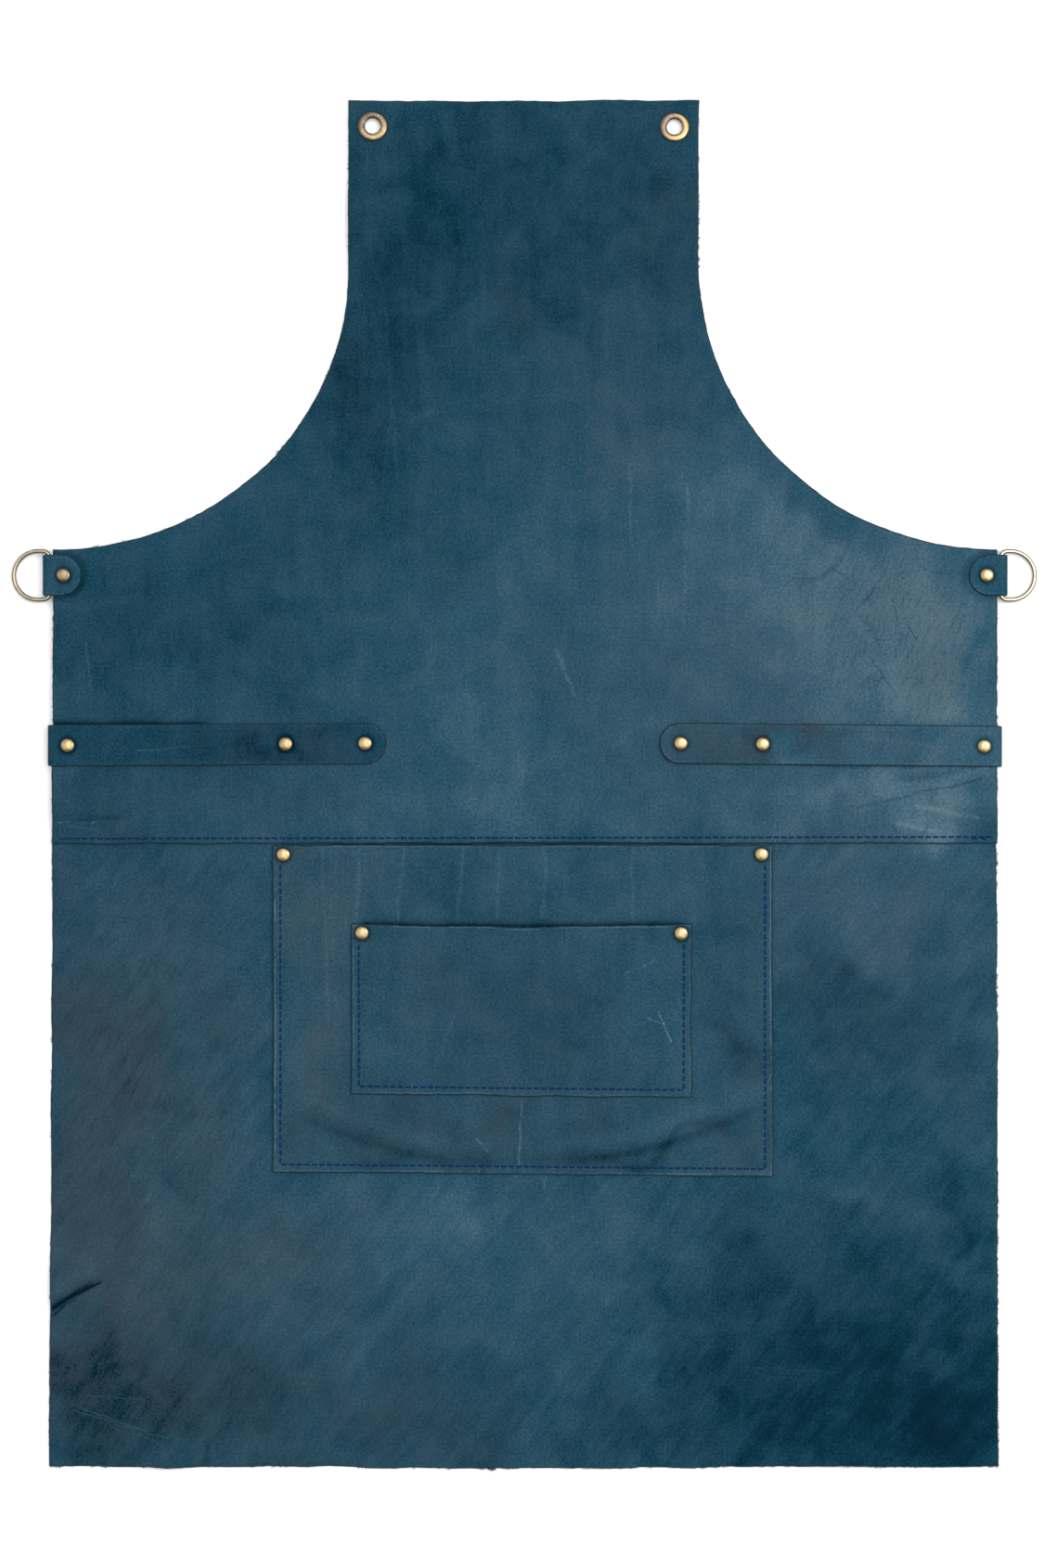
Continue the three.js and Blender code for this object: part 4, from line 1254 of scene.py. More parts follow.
def large_under(x, y):
    ridges = np.maximum(creased(x, y, POCKET_CREASES), 0)
    return lay(x, y) + LEATHER + GAP + gape(POCKETS["large"], x, y) + ridges


def small_under(x, y):
    return large_under(x, y) + LEATHER + GAP + gape(POCKETS["small"], x, y)


print("pockets stand open by", [pocket["gape"] for pocket in POCKETS.values()], "mm")

# %% [markdown]
# A rivet squeezes the leather into a dent round each cap, and the leather there is darkened with painted
# shade. The pockets take these dents, the grooves of their stitches and a fine waviness. The large one also
# has its folds, and painted shade along the small one's mouth.

# %% Cut the pockets
RIVET_NODES = [node for node in sorted(frame["nodes"]) if node.startswith("rivet_")]
RIVET_PLACES = [middle_of(node)[:2] for node in RIVET_NODES]
# the darker tone round each rivet cap is painted shade; the dent is real relief
HALO_PAINTED_SHADE, HALO_DENT, HALO_WIDTH = -0.30, -0.30, 3.0
POCKET_WAVE, POCKET_WAVE_SIZE = 0.06, 30
POCKET_WAVE_SEED = {"large": 21, "small": 22}
POCKET_SEED = {"large": 81, "small": 91}
POCKET_BASE = (0.50, 0.30, 0.04)
POCKET_CLOUDS = {
    # the thinnest dark ovals lie along the folds and are painted shade
    "large": [
        (-132, -68, 22, 30, 0, 0.12, 0.45, 0.0),
        (-129, -121, 16, 32, 0, 0.11, 0.45, 0.0),
        (-132, -179, 20, 20, 0, 0.12, 0.5, 0.0),
        (-50, -62, 34, 15, 0, -0.10, -0.1, 0.0),
        (15, -56, 20, 22, 0, 0.05, -0.1, 0.0),
        (132, -172, 22, 10, -10, -0.16, 0.1, 0.0),
        (-40, -218, 100, 18, 0, -0.12, 0.3, 0.1),
        (-3, -220, 18, 18, 0, 0.05, 0.5, 0.1),
        (91, -224, 60, 6, 14, -0.22, 0.1, 0.0),
        (-38, -238, 62, 5, 0, -0.14, 0.1, 0.0),
        (134, -226, 20, 11, 15, 0.10, 0.4, 0.0),
        (-138, -201, 16, 4, -30, -0.16, 0.1, 0.0),
        (130, -130, 26, 56, 0, -0.14, 0.1, 0.0),
        (-128, -205, 34, 34, 0, 0.0, 0.3, 0.0),
        (40, -226, 70, 12, 0, -0.08, -0.15, 0.0),
    ],
    "small": [
        (28, -136, 70, 44, 0, -0.12, 0.1, 0.05),
        (-62, -126, 30, 26, 0, -0.02, 0.15, 0.0),
        (-79, -173, 26, 20, 0, 0.05, -0.1, 0.0),
        (88, -138, 18, 36, 0, 0.10, -0.15, 0.1),
        (46, -115, 26, 11, -20, 0.05, -0.1, 0.1),
        (58, -172, 42, 12, 20, 0.05, 0.0, 0.1),
    ],
}


def round_rivets(x, y):
    """1 close round a rivet's cap, fading outward."""
    nearest = np.min([np.hypot(x - rivet_x, y - rivet_y) for rivet_x, rivet_y in RIVET_PLACES], axis=0)
    return smooth(1 - (nearest - RIVET["cap"]) / HALO_WIDTH)


def pocket_relief(size, x, y):
    """Dents and waves of a pocket's face, and the furrows of the large one."""
    relief = stitch_dent(POCKETS[size], x, y) + HALO_DENT * round_rivets(x, y)
    if size == "large":
        relief = relief + np.minimum(creased(x, y, POCKET_CREASES), 0)
    return relief + POCKET_WAVE * ripple(x, y, POCKET_WAVE_SIZE, POCKET_WAVE_SEED[size])


def pocket_colour(size, pattern):
    x, y = pattern.T
    record = clouded(x, y, POCKET_CLOUDS[size], POCKET_BASE, POCKET_SEED[size])
    if size == "large":
        small = POCKETS["small"]
        # the folds: ridges paler, furrows darkened with painted shade
        record[:, 0] += pulled(x, y, POCKET_CREASES)
        # painted shade along the small pocket's mouth
        record[:, 0] += painted_shade_above(x, y, pocket_mouth(small, x), small["left"], small["right"])
    # painted shade round each rivet cap
    record[:, 0] += HALO_PAINTED_SHADE * round_rivets(x, y)
    return record


def cut_pocket(size, under):
    pocket, seed = POCKETS[size], POCKET_SEED[size]
    left, right, top = pocket["left"], pocket["right"], pocket["top"]
    corners = np.array([(left, pocket["bottom"][0]), (right, pocket["bottom"][1]), (right, top), (left, top)])
    outline = densify(corners, OUTLINE_STEP)
    on_mouth = np.isclose(outline[:, 1], top)
    outline[on_mouth, 1] = pocket_mouth(pocket, outline[on_mouth, 0])
    place, colour = on_table(under, partial(pocket_relief, size)), partial(pocket_colour, size)
    return leather_piece(f"{size}_pocket_leather", [wandered(outline, seed)], wandered(corners, seed),
                         pocket["cell"], place, colour, FINISH["pocket"])


large_pocket = dress(cut_pocket("large", large_under), "pocket_leather", "large_pocket")
small_pocket = dress(cut_pocket("small", small_under), "pocket_leather", "small_pocket")

# %% [markdown]
# A side strap is a long tongue wrapped round the panel's edge, and a ring tab is a short one folded round
# the bar of a D-ring. Both are cut flat and then bent. The bend is a line drawn in the strap's own
# section, from the tip over the front, round the edge and along the back.

# %% Patterns and bends of straps and tabs
STRAP_BACK = 26.0  # length behind the panel
STRAP_ARCH = 1.2  # slack between two rivets
STRAP_POINTS, STRAP_RIBS = 90, 7
STRAPS = {
    "left": {"tip_x": -87.3, "tip_y": 25.4, "fold_y": 24.0},
    "right": {"tip_x": 85.4, "tip_y": 25.5, "fold_y": 23.4},
}
TAB_REACH = 18.0
TAB_LOOP_RADIUS, TAB_LOOP_OUT = 2.5, 2.4
TAB_LOOP_START = -1.5
TIP_POINTS, FOLD_POINTS = 60, 25
LINE_STEP, LINE_EASINGS = 0.25, 3
FOLD_MIDDLE_Z = FOLD_LIFT + LEATHER / 2
LEAF_LIFT = LEATHER + GAP  # from the middle of the panel to the middle of a leaf folded round it


def tongue_outline(length, both_round):
    """Flat pattern of a strap or tab: a round tip at 0, and a round or square end."""
    radius = STRAP_WIDTH / 2
    angle = np.linspace(math.pi / 2, 1.5 * math.pi, TIP_POINTS)
    tip = np.stack((radius + radius * np.cos(angle), radius * np.sin(angle)), axis=1)
    if both_round:
        end = np.stack((length - tip[:, 0], -tip[:, 1]), axis=1)
        return np.concatenate((tip, end)), np.zeros((0, 2))
    corners = np.array([(length, -radius), (length, radius)])
    return np.concatenate((tip, corners)), corners


def round_fold(out, radius):
    """Half a turn about the folded edge, as (distance outside the edge, height) points."""
    angle = np.linspace(math.pi / 2, -math.pi / 2, FOLD_POINTS)
    return np.stack((out + radius * np.cos(angle), FOLD_MIDDLE_Z + radius * np.sin(angle)), axis=1)


def distance_along(line):
    return np.concatenate(([0], np.cumsum(np.hypot(*np.diff(line, axis=0).T))))


def evened(line):
    """A line with even steps and its corners eased."""
    far = distance_along(line)
    at = np.linspace(0, far[-1], max(2, int(far[-1] / LINE_STEP)))
    even = np.stack([np.interp(at, far, line[:, axis]) for axis in (0, 1)], axis=1)
    for _ in range(LINE_EASINGS):
        even[1:-1] = (even[:-2] + 2 * even[1:-1] + even[2:]) / 4
    return even


def strap_y(side, x):
    """Middle line of a strap, which lies slightly askew."""
    sign, strap = SIDE_SIGN[side], STRAPS[side]
    ends = (sign * strap["tip_x"], SIDES[side]["waist"])
    return np.interp(sign * x, ends, (strap["tip_y"], strap["fold_y"]))


def tab_y(x):
    return np.full_like(x, TAB_Y)


def strap_line(side):
    """Middle of a strap's thickness, from its tip along the waist, round the edge and back."""
    sign, strap = SIDE_SIGN[side], STRAPS[side]
    edge = edge_x(side, strap["fold_y"])
    outs = np.linspace(-abs(edge - strap["tip_x"]), 0, STRAP_POINTS)
    x = edge + sign * outs
    ribs = np.linspace(-STRAP_WIDTH / 2, STRAP_WIDTH / 2, STRAP_RIBS)
    panel = np.max([upper_under(x, strap_y(side, x) + rib) for rib in ribs], axis=0)
    near, far = (middle_of(f"rivet_strap_{side}_{place}")[0] for place in ("middle", "outer"))
    slack = STRAP_ARCH * np.sin(math.pi * np.clip((x - near) / (far - near), 0, 1)) ** 2
    front = np.stack((outs, panel + LEATHER + GAP + slack + LEATHER / 2), axis=1)
    back = np.array([(-STRAP_BACK, FOLD_MIDDLE_Z - LEAF_LIFT)])
    return edge, evened(np.concatenate((front, round_fold(0, LEAF_LIFT)[1:], back)))


def tab_line(side):
    """Middle of a tab's thickness, from its tip round the ring's bar and back."""
    outs = np.array((-TAB_REACH, TAB_LOOP_START))
    front = np.stack((outs, np.full(2, FOLD_MIDDLE_Z + LEAF_LIFT)), axis=1)
    back = np.stack((outs[::-1], np.full(2, FOLD_MIDDLE_Z - LEAF_LIFT)), axis=1)
    loop = round_fold(TAB_LOOP_OUT, TAB_LOOP_RADIUS + LEATHER / 2)
    return edge_x(side, TAB_Y), evened(np.concatenate((front, loop, back)))


print("a folded leaf lies", round(LEAF_LIFT, 2), "mm from the middle of the panel")

# %% [markdown]
# Each point of the flat pattern now rides on the bend at its distance from the tip, with the grain outside
# all the way round. The rim is pale from wear and painted lighter as an edge highlight, and the rivets dent a
# strap and darken it with painted shade as they do a pocket.

# %% Cut the straps and tabs
TONGUE_CELL, TONGUE_STEP = 1.15, 0.5
STRAP_BASE = {"left": (0.26, 0.10, 0.03), "right": (0.66, 0.16, 0.05)}
TAB_BASE = (0.44, 0.08, 0.02)
# the pale rim of a strap or tab is partly wear and partly a painted edge highlight
TONGUE_RIM_WEAR_AND_HIGHLIGHT, RIM_WIDTH = 0.16, 1.4
STRAP_CLOUD_SEED = 101
STRAP_CLOUDS = [
    (-184, 25, 34, 12, 0, -0.16, 0.35, 0.0),
    (-130, 25, 30, 12, 0, -0.10, 0.35, 0.0),
    (-262, 25, 22, 12, 0, 0.08, 0.1, 0.0),
    (150, 25, 70, 14, 0, -0.29, 0.75, 0.0),
    (188, 25, 14, 9, 0, -0.08, 0.2, 0.0),
    (252, 24, 40, 12, 0, 0.20, 0.3, 0.1),
]


def bent_along(side, edge, line, middle_y):
    """Bends a flat pattern along a line in its section; the grain side is outside."""
    sign = SIDE_SIGN[side]
    far = distance_along(line)
    outward = left_of(np.gradient(line, axis=0))

    def place(pattern, height):
        along, across = pattern.T
        level = height - LEATHER / 2
        out, z = (np.interp(along, far, line[:, axis] + level * outward[:, axis]) for axis in (0, 1))
        x = edge + sign * out
        y = middle_y(x) + sign * across
        dent = HALO_DENT * round_rivets(x, y) * (height / LEATHER) * (z > FOLD_MIDDLE_Z)
        return np.stack((x, y, z + dent), axis=1)
    return far[-1], place


def cut_tongue(name, side, edge, line, middle_y, both_round, base):
    length, place = bent_along(side, edge, line, middle_y)
    outline, corners = tongue_outline(length, both_round)

    def colour(pattern):
        x, y, _ = place(pattern, LEATHER).T
        record = clouded(x, y, STRAP_CLOUDS, base, STRAP_CLOUD_SEED)
        along, across = pattern.T
        radius = STRAP_WIDTH / 2
        from_rim = radius - np.hypot(np.maximum(radius - along, 0), across)
        # painted shade round the rivets, and a pale rim that is partly wear and partly a painted edge
        # highlight
        record[:, 0] += HALO_PAINTED_SHADE * round_rivets(x, y) + TONGUE_RIM_WEAR_AND_HIGHLIGHT * np.exp(-from_rim / RIM_WIDTH)
        return record

    outline = densify(outline, TONGUE_STEP)
    piece = leather_piece(name, [outline], corners, TONGUE_CELL, place, colour, FINISH["strap"])
    print(name, "is cut", round(length, 1), "mm long")
    return piece, length


straps, tabs, cut_length = {}, {}, {}
for side in SIDE_SIGN:
    strap, cut_length["strap", side] = cut_tongue(
        f"side_strap_leather_{side}", side, *strap_line(side), partial(strap_y, side), both_round=False,
        base=STRAP_BASE[side])
    tab, cut_length["tab", side] = cut_tongue(
        f"ring_tab_leather_{side}", side, *tab_line(side), tab_y, both_round=True, base=TAB_BASE)
    straps[side] = dress(strap, "strap_leather", f"side_strap_{side}")
    tabs[side] = dress(tab, "strap_leather", f"ring_tab_{side}")

# %% [markdown]
# The stitches are waxed dark blue thread. Each one is a short arched rope that dives into the leather at
# both ends. One stitch is drawn once, as rings of points joined into a closed tube. The same tube serves
# for the wire rings and the loose fibres later.

# %% Thread and one stitch
STITCH_PITCH = 4.82
STITCH_SHARE = 0.88  # of the pitch that shows as thread
THREAD_RADIUS = 0.54
THREAD_WAX = {"Roughness": 0.6, "Specular IOR Level": 0.1}
THREAD_STOPS = [(0.35, (0.0006, 0.010, 0.052)), (0.7, (0.0024, 0.026, 0.115))]
THREAD_TWIST = 1.1
STITCH_RINGS, STITCH_SIDES = 9, 8
STITCH_BULGE = (1.04, 0.5)  # squared thickness in the middle, and what the ends lose of it
STITCH_ARCH = (0.32, 1.25)  # height of the middle, and how far the ends dive below it


def thread_finish():
    material, tree, surface, where = new_finish("waxed_thread", THREAD_WAX)
    twist = noise(tree, where, THREAD_TWIST)
    tree.links.new(ramp(tree, twist, THREAD_STOPS), surface.inputs["Base Color"])
    return material


THREAD = thread_finish()


def tube_faces(rings, sides):
    """Faces of a closed tube whose points come ring by ring."""
    last = (rings - 1) * sides
    faces = [list(range(sides))[::-1], list(range(last, last + sides))]
    for start in range(0, last, sides):
        for side in range(sides):
            here, ahead = start + side, start + (side + 1) % sides
            faces.append([here, ahead, ahead + sides, here + sides])
    return faces


def one_stitch(length):
    """Points of a stitch along X, arched over the leather."""
    t = np.linspace(-1, 1, STITCH_RINGS)[:, None]
    angle = np.linspace(0, 2 * math.pi, STITCH_SIDES, endpoint=False)
    radius = THREAD_RADIUS * np.sqrt(STITCH_BULGE[0] - STITCH_BULGE[1] * t**4)
    arch = STITCH_ARCH[0] - STITCH_ARCH[1] * np.abs(t) ** 5
    x = np.broadcast_to(length / 2 * t, (STITCH_RINGS, STITCH_SIDES))
    return np.stack((x, radius * np.cos(angle), arch + radius * np.sin(angle)), axis=-1).reshape(-1, 3)


print("points in a stitch:", STITCH_RINGS * STITCH_SIDES)

# %% [markdown]
# The stitch is repeated along each seam as arrays, which is far quicker than hundreds of objects. At both
# ends of the waist seam the machine sewed back over itself, so a second short row lies half a stitch off
# the first. A pocket is sewn down one side, along its bottom and up the other side.

# %% Sew the seams
STITCH_TURN, STITCH_RISE = 0.05, 0.03  # how much one stitch differs from the next
STITCH_SEED = 7
SEAM_ENDS = {"left": (-294.5, -34.8), "right": (296.0, -33.7)}
BACK_TACK = {"length": 12.0, "start_y": -35.2, "end_y": -34.5}
STITCH_TOP = {"large": -51.0, "small": -101.0}


def sew(name, rows, surface):
    """Stitches along rows of (start, end); `surface` gives the leather's height."""
    shape = one_stitch(STITCH_PITCH * STITCH_SHARE)
    pattern = tube_faces(STITCH_RINGS, STITCH_SIDES)
    chance = np.random.default_rng(STITCH_SEED)
    points, faces = [], []
    for start, end in rows:
        start, end = np.array(start), np.array(end)
        length = np.hypot(*(end - start))
        run = (end - start) / length
        count = round(length / STITCH_PITCH)
        for step in range(count):
            middle = start + (end - start) * (step + 0.5) / count
            turn = chance.normal(0, STITCH_TURN)
            heading = np.array((run[0] - turn * run[1], run[1] + turn * run[0]))
            flat = middle + shape[:, :1] * heading + shape[:, 1:2] * np.array((-heading[1], heading[0]))
            z = surface(*flat.T) + shape[:, 2] + chance.normal(0, STITCH_RISE)
            faces += [[len(points) * len(shape) + index for index in face] for face in pattern]
            points.append(np.column_stack((flat, z)))
    piece = show_mesh(name, np.concatenate(points), faces)
    piece.data.materials.append(THREAD)
    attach(piece, "apron")
    print(name, len(points), "stitches")
    return piece


def seam_rows():
    """The waist seam, and the short row sewn back at each end."""
    rows = [(SEAM_ENDS["left"], SEAM_ENDS["right"])]
    for side, sign in SIDE_SIGN.items():
        start = SEAM_ENDS[side][0] - sign * STITCH_PITCH / 2
        end = start - sign * BACK_TACK["length"]
        rows.append(((start, BACK_TACK["start_y"]), (end, BACK_TACK["end_y"])))
    return rows


def pocket_rows(size):
    pocket = POCKETS[size]
    left, right = pocket["left"] + STITCH_INSET, pocket["right"] - STITCH_INSET
    low = [pocket_bottom(pocket, x) + STITCH_INSET for x in (left, right)]
    top = STITCH_TOP[size]
    return [((left, top), (left, low[0])), ((left, low[0]), (right, low[1])), ((right, low[1]), (right, top))]


def top_of(under, relief):
    """Upper face of a laid sheet."""
    return lambda x, y: under(x, y) + LEATHER + relief(x, y)


large_top = top_of(large_under, partial(pocket_relief, "large"))
small_top = top_of(small_under, partial(pocket_relief, "small"))
seam_stitches = sew("seam_stitches", seam_rows(), top_of(upper_under, panel_relief))
large_stitches = sew("large_pocket_stitches", pocket_rows("large"), large_top)
small_stitches = sew("small_pocket_stitches", pocket_rows("small"), small_top)

# %% [markdown]
# The fittings are plated to look like old brass: warm and half bright on top, dark in the hollows and under
# the rims. Every point of a fitting carries its own tarnish, which the finish mixes with a little noise. A
# clear lacquer lies over it all.

# %% Old brass
BRASS = {
    "rivet": {"bright": (0.45, 0.305, 0.12), "dark": (0.045, 0.027, 0.010), "roughness": 0.13},
    "ring": {"bright": (0.56, 0.46, 0.29), "dark": (0.060, 0.042, 0.021), "roughness": 0.12},
}
LACQUER = {"Coat Weight": 1.0, "Coat IOR": 1.6, "Coat Roughness": 0.10}
STAIN = {"size": 3.2, "detail": 3.0, "roughness": 0.6}
STAIN_TARNISH, STAIN_DULL, TARNISH_DULL = 0.7, 0.18, 0.2


def old_brass(name):
    metal = BRASS[name]
    material, tree, surface, where = new_finish(f"{name}_brass", {"Metallic": 1.0, **LACQUER})
    tarnish = add_node(tree, "ShaderNodeAttribute", attribute_name="tarnish").outputs["Fac"]
    stain = noise(tree, where, **STAIN)
    share = sums(tree, "ADD", tarnish, centred(tree, stain, STAIN_TARNISH), clamp=True)
    colour = mix_colours(tree, "MIX", share, metal["bright"], metal["dark"])
    tree.links.new(colour, surface.inputs["Base Color"])
    dull = sums(tree, "MULTIPLY_ADD", stain, STAIN_DULL, metal["roughness"])
    tree.links.new(sums(tree, "MULTIPLY_ADD", tarnish, TARNISH_DULL, dull), surface.inputs["Roughness"])
    return material


RIVET_BRASS, RING_BRASS = old_brass("rivet"), old_brass("ring")
print("kinds of brass:", sorted(BRASS))

# %% [markdown]
# Rivets and eyelets are turned shapes, so each is a profile spun round its axis. A screw modifier could spin
# it too, but then the points could not carry their tarnish from the start. An eyelet's profile is closed,
# which leaves the hole, and a rivet's ends on the axis.

# %% Rivets and eyelets
TURNED_SIDES = 40
CAP_DEGREES = (10, 18, 26, 35, 44, 53, 62, 72, 82)  # the points of a rivet's dome
CAP_LIP, CAP_WEAR = 0.35, 0.12
# extra darkness on these rivets; on the left tab's rivet it is painted shade
DARK_RIVETS = {"rivet_tab_left": 0.45, "rivet_strap_left_middle": 0.12, "rivet_small_pocket_left": 0.10}
FLANGE_LIP, FLANGE_POINTS = 0.3, 21
EYELET_TARNISH_AND_HIGHLIGHT = {
    # tarnish of the crest, how much brighter one side is painted as a highlight, and that side's direction in
    # degrees
    "eyelet_left": (0.70, 0.28, -60),
    "eyelet_right": (0.48, 0.34, -40),
}


def corners_of(node):
    """Lowest and highest corner of a frame piece, in millimetres."""
    return [np.array(corner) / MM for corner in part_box(node)]


def turned_piece(name, middle, profile, closed, painted_highlight=0.0, toward=0.0):
    """Spins (radius, height, tarnish) points round a vertical axis; a closed profile is a ring.

    One side can carry a painted highlight, and `toward` is its direction in degrees."""
    angle = np.linspace(0, 2 * math.pi, TURNED_SIDES, endpoint=False)
    points, tarnish, rings = [], [], []
    for radius, z, dark in profile:
        spun = angle if radius > 0 else angle[:1]
        rings.append(range(len(points), len(points) + len(spun)))
        x, y = middle[0] + radius * np.cos(spun), middle[1] + radius * np.sin(spun)
        points += np.stack((x, y, np.full_like(spun, z)), axis=1).tolist()
        tarnish += (dark - painted_highlight * np.cos(spun - math.radians(toward))).tolist()
    faces = []
    for lower, upper in zip(rings, rings[1:] + rings[:1] if closed else rings[1:]):
        for side in range(TURNED_SIDES):
            ahead = (side + 1) % TURNED_SIDES
            corners = [lower[side % len(lower)], lower[ahead % len(lower)]]
            corners += [upper[ahead % len(upper)], upper[side % len(upper)]]
            faces.append(list(dict.fromkeys(corners)))
    piece = show_mesh(name, points, faces)
    piece.data.set_sharp_from_angle(angle=SHARP_EDGE)
    store(piece, "tarnish", "FLOAT", "value", tarnish)
    piece.data.materials.append(RIVET_BRASS)
    return piece


def add_rivet(node):
    low, high = corners_of(node)
    floor, seat = low[2], high[2] - RIVET["cap_height"]
    behind = floor + RIVET["back_height"]
    cap, post, back = RIVET["cap"], RIVET["post"], RIVET["back"]
    profile = [
        # radius, height and tarnish, from the back to the rim of the cap
        (0, floor, 0.3),
        (back - 0.5, floor, 0.3),
        (back, floor + 0.4, 0.4),
        (back - 0.1, behind, 0.9),
        (post, behind, 0.9),
        (post, seat, 0.9),
        (cap - 0.35, seat, 1.0),
        (cap, seat + 0.15, 1.0),
        (cap, seat + CAP_LIP, 0.95),
    ]
    top_tarnish = CAP_WEAR + DARK_RIVETS.get(node, 0.0)
    for angle in np.radians(CAP_DEGREES):
        radius = (cap - 0.05) * math.cos(angle)
        z = seat + CAP_LIP + (RIVET["cap_height"] - CAP_LIP) * math.sin(angle)
        profile.append((radius, z, top_tarnish + (1 - top_tarnish) * math.cos(angle) ** 3))
    profile.append((0, high[2], top_tarnish))
    piece = turned_piece(f"{node}_brass", (low + high) / 2, profile, closed=False)
    return dress(piece, "rivet_metal", node)


def add_eyelet(node):
    low, high = corners_of(node)
    floor, seat = low[2], high[2] - EYELET["height"]
    behind = floor + EYELET["back_height"]
    hole, flange = EYELET["hole"], EYELET["flange"]
    profile = [
        (hole, floor, 0.5),
        (EYELET["back"], floor, 0.3),
        (EYELET["back"], behind, 0.8),
        (EYELET["barrel"], behind, 0.9),
        (EYELET["barrel"], seat, 0.9),
        (flange - 0.2, seat, 1.0),
    ]
    top_tarnish, painted_highlight, toward = EYELET_TARNISH_AND_HIGHLIGHT[node]
    for angle in np.linspace(0, math.pi, FLANGE_POINTS):
        outer = math.cos(angle)
        rim = smooth((outer - 0.25) / 0.5) if outer > 0 else smooth((-outer - 0.45) / 0.3)
        z = seat + FLANGE_LIP + (EYELET["height"] - FLANGE_LIP) * math.sin(angle)
        radius = (flange + hole) / 2 + (flange - hole) / 2 * outer
        profile.append((radius, z, top_tarnish + (1 - top_tarnish) * float(rim)))
    profile.append((hole, seat - 0.4, 0.5))
    piece = turned_piece(f"{node}_brass", (low + high) / 2, profile, True, painted_highlight, toward)
    return dress(piece, "eyelet_metal", node)


rivets = [add_rivet(node) for node in RIVET_NODES]
eyelets = [add_eyelet(f"eyelet_{side}") for side in SIDE_SIGN]
print("rivets:", len(rivets), "eyelets:", len(eyelets))

# %% [markdown]
# A D-ring is one length of wire, bent so that its two ends meet in the straight bar inside the tab. The bar's
# place is the axis of the ring's joint, and the ring leans down from it until the bow lies on the table. The
# wire is drawn along its own flat path and then tipped.

# %% D-rings
WIRE_RADIUS = 1.4
RING_HALF_WIDTH = 15.35
RING_CORNER = 4.0
RING_BUTT = 0.4
WIRE_SIDES = 18
CORNER_POINTS, BOW_POINTS = 12, 60
WIRE_TARNISH = 0.95  # on the sides, painted dark as a reflection of dark surroundings; the top is painted bright as a highlight
TOP_HIGHLIGHT_TARNISH = {"left": 0.40, "right": 0.10}


def arc(x, y, radius, start, end, count):
    angle = np.radians(np.linspace(start, end, count))
    return np.stack((x + radius * np.cos(angle), y + radius * np.sin(angle)), axis=1)


def ring_path(reach):
    """Centre line of the wire in the ring's own plane, with the bar on the Y axis."""
    bow = reach - RING_HALF_WIDTH
    inner = RING_HALF_WIDTH - RING_CORNER
    return np.concatenate((
        [(0, -RING_BUTT / 2), (0, -inner / 2)],
        arc(RING_CORNER, -inner, RING_CORNER, 180, 270, CORNER_POINTS),
        arc(bow, 0, RING_HALF_WIDTH, -90, 90, BOW_POINTS),
        arc(RING_CORNER, inner, RING_CORNER, 90, 180, CORNER_POINTS),
        [(0, inner / 2), (0, RING_BUTT / 2)],
    ))


def add_ring(side):
    joint = next(joint for joint in frame["joints"] if joint["child"] == f"ring_{side}")
    bar_x, bar_y, bar_z = (value / MM for value in joint["pos_m"])
    low, high = corners_of(f"d_ring_{side}")
    run = max(abs(low[0]), abs(high[0])) - WIRE_RADIUS - abs(bar_x)
    drop = bar_z - WIRE_RADIUS
    path = ring_path(math.hypot(run, drop))
    lean = math.atan2(drop, run)
    across = left_of(np.gradient(path, axis=0))
    angle = np.linspace(0, 2 * math.pi, WIRE_SIDES, endpoint=False)
    flat = path[:, None, :] + WIRE_RADIUS * np.cos(angle)[None, :, None] * across[:, None, :]
    off = np.broadcast_to(WIRE_RADIUS * np.sin(angle), flat.shape[:2])
    sign = SIDE_SIGN[side]
    x = bar_x + sign * (flat[..., 0] * math.cos(lean) + off * math.sin(lean))
    y = bar_y + sign * flat[..., 1]
    z = bar_z - flat[..., 0] * math.sin(lean) + off * math.cos(lean)
    points = np.stack((x, y, z), axis=-1).reshape(-1, 3)
    piece = show_mesh(f"d_ring_brass_{side}", points, tube_faces(len(path), WIRE_SIDES))
    # the wire is painted bright where it faces up, as a highlight, and dark on its sides, as a reflection
    facing_up = np.clip(np.sin(angle), 0, 1) ** 4
    tarnish = WIRE_TARNISH + (TOP_HIGHLIGHT_TARNISH[side] - WIRE_TARNISH) * facing_up
    store(piece, "tarnish", "FLOAT", "value", np.tile(tarnish, len(path)))
    piece.data.materials.append(RING_BRASS)
    print(piece.name, "leans", round(math.degrees(lean), 1), "degrees")
    return dress(piece, "ring_metal", f"d_ring_{side}", body=f"ring_{side}")


rings = [add_ring(side) for side in SIDE_SIGN]

# %% [markdown]
# Raw cut leather sheds fibres. They stand out of the panels' edges in small tufts, most of them under a
# millimetre long, and they are thickest where the hem is frayed. All are joined in one mesh of thin
# three-sided tubes, because a hair system would not survive the export.

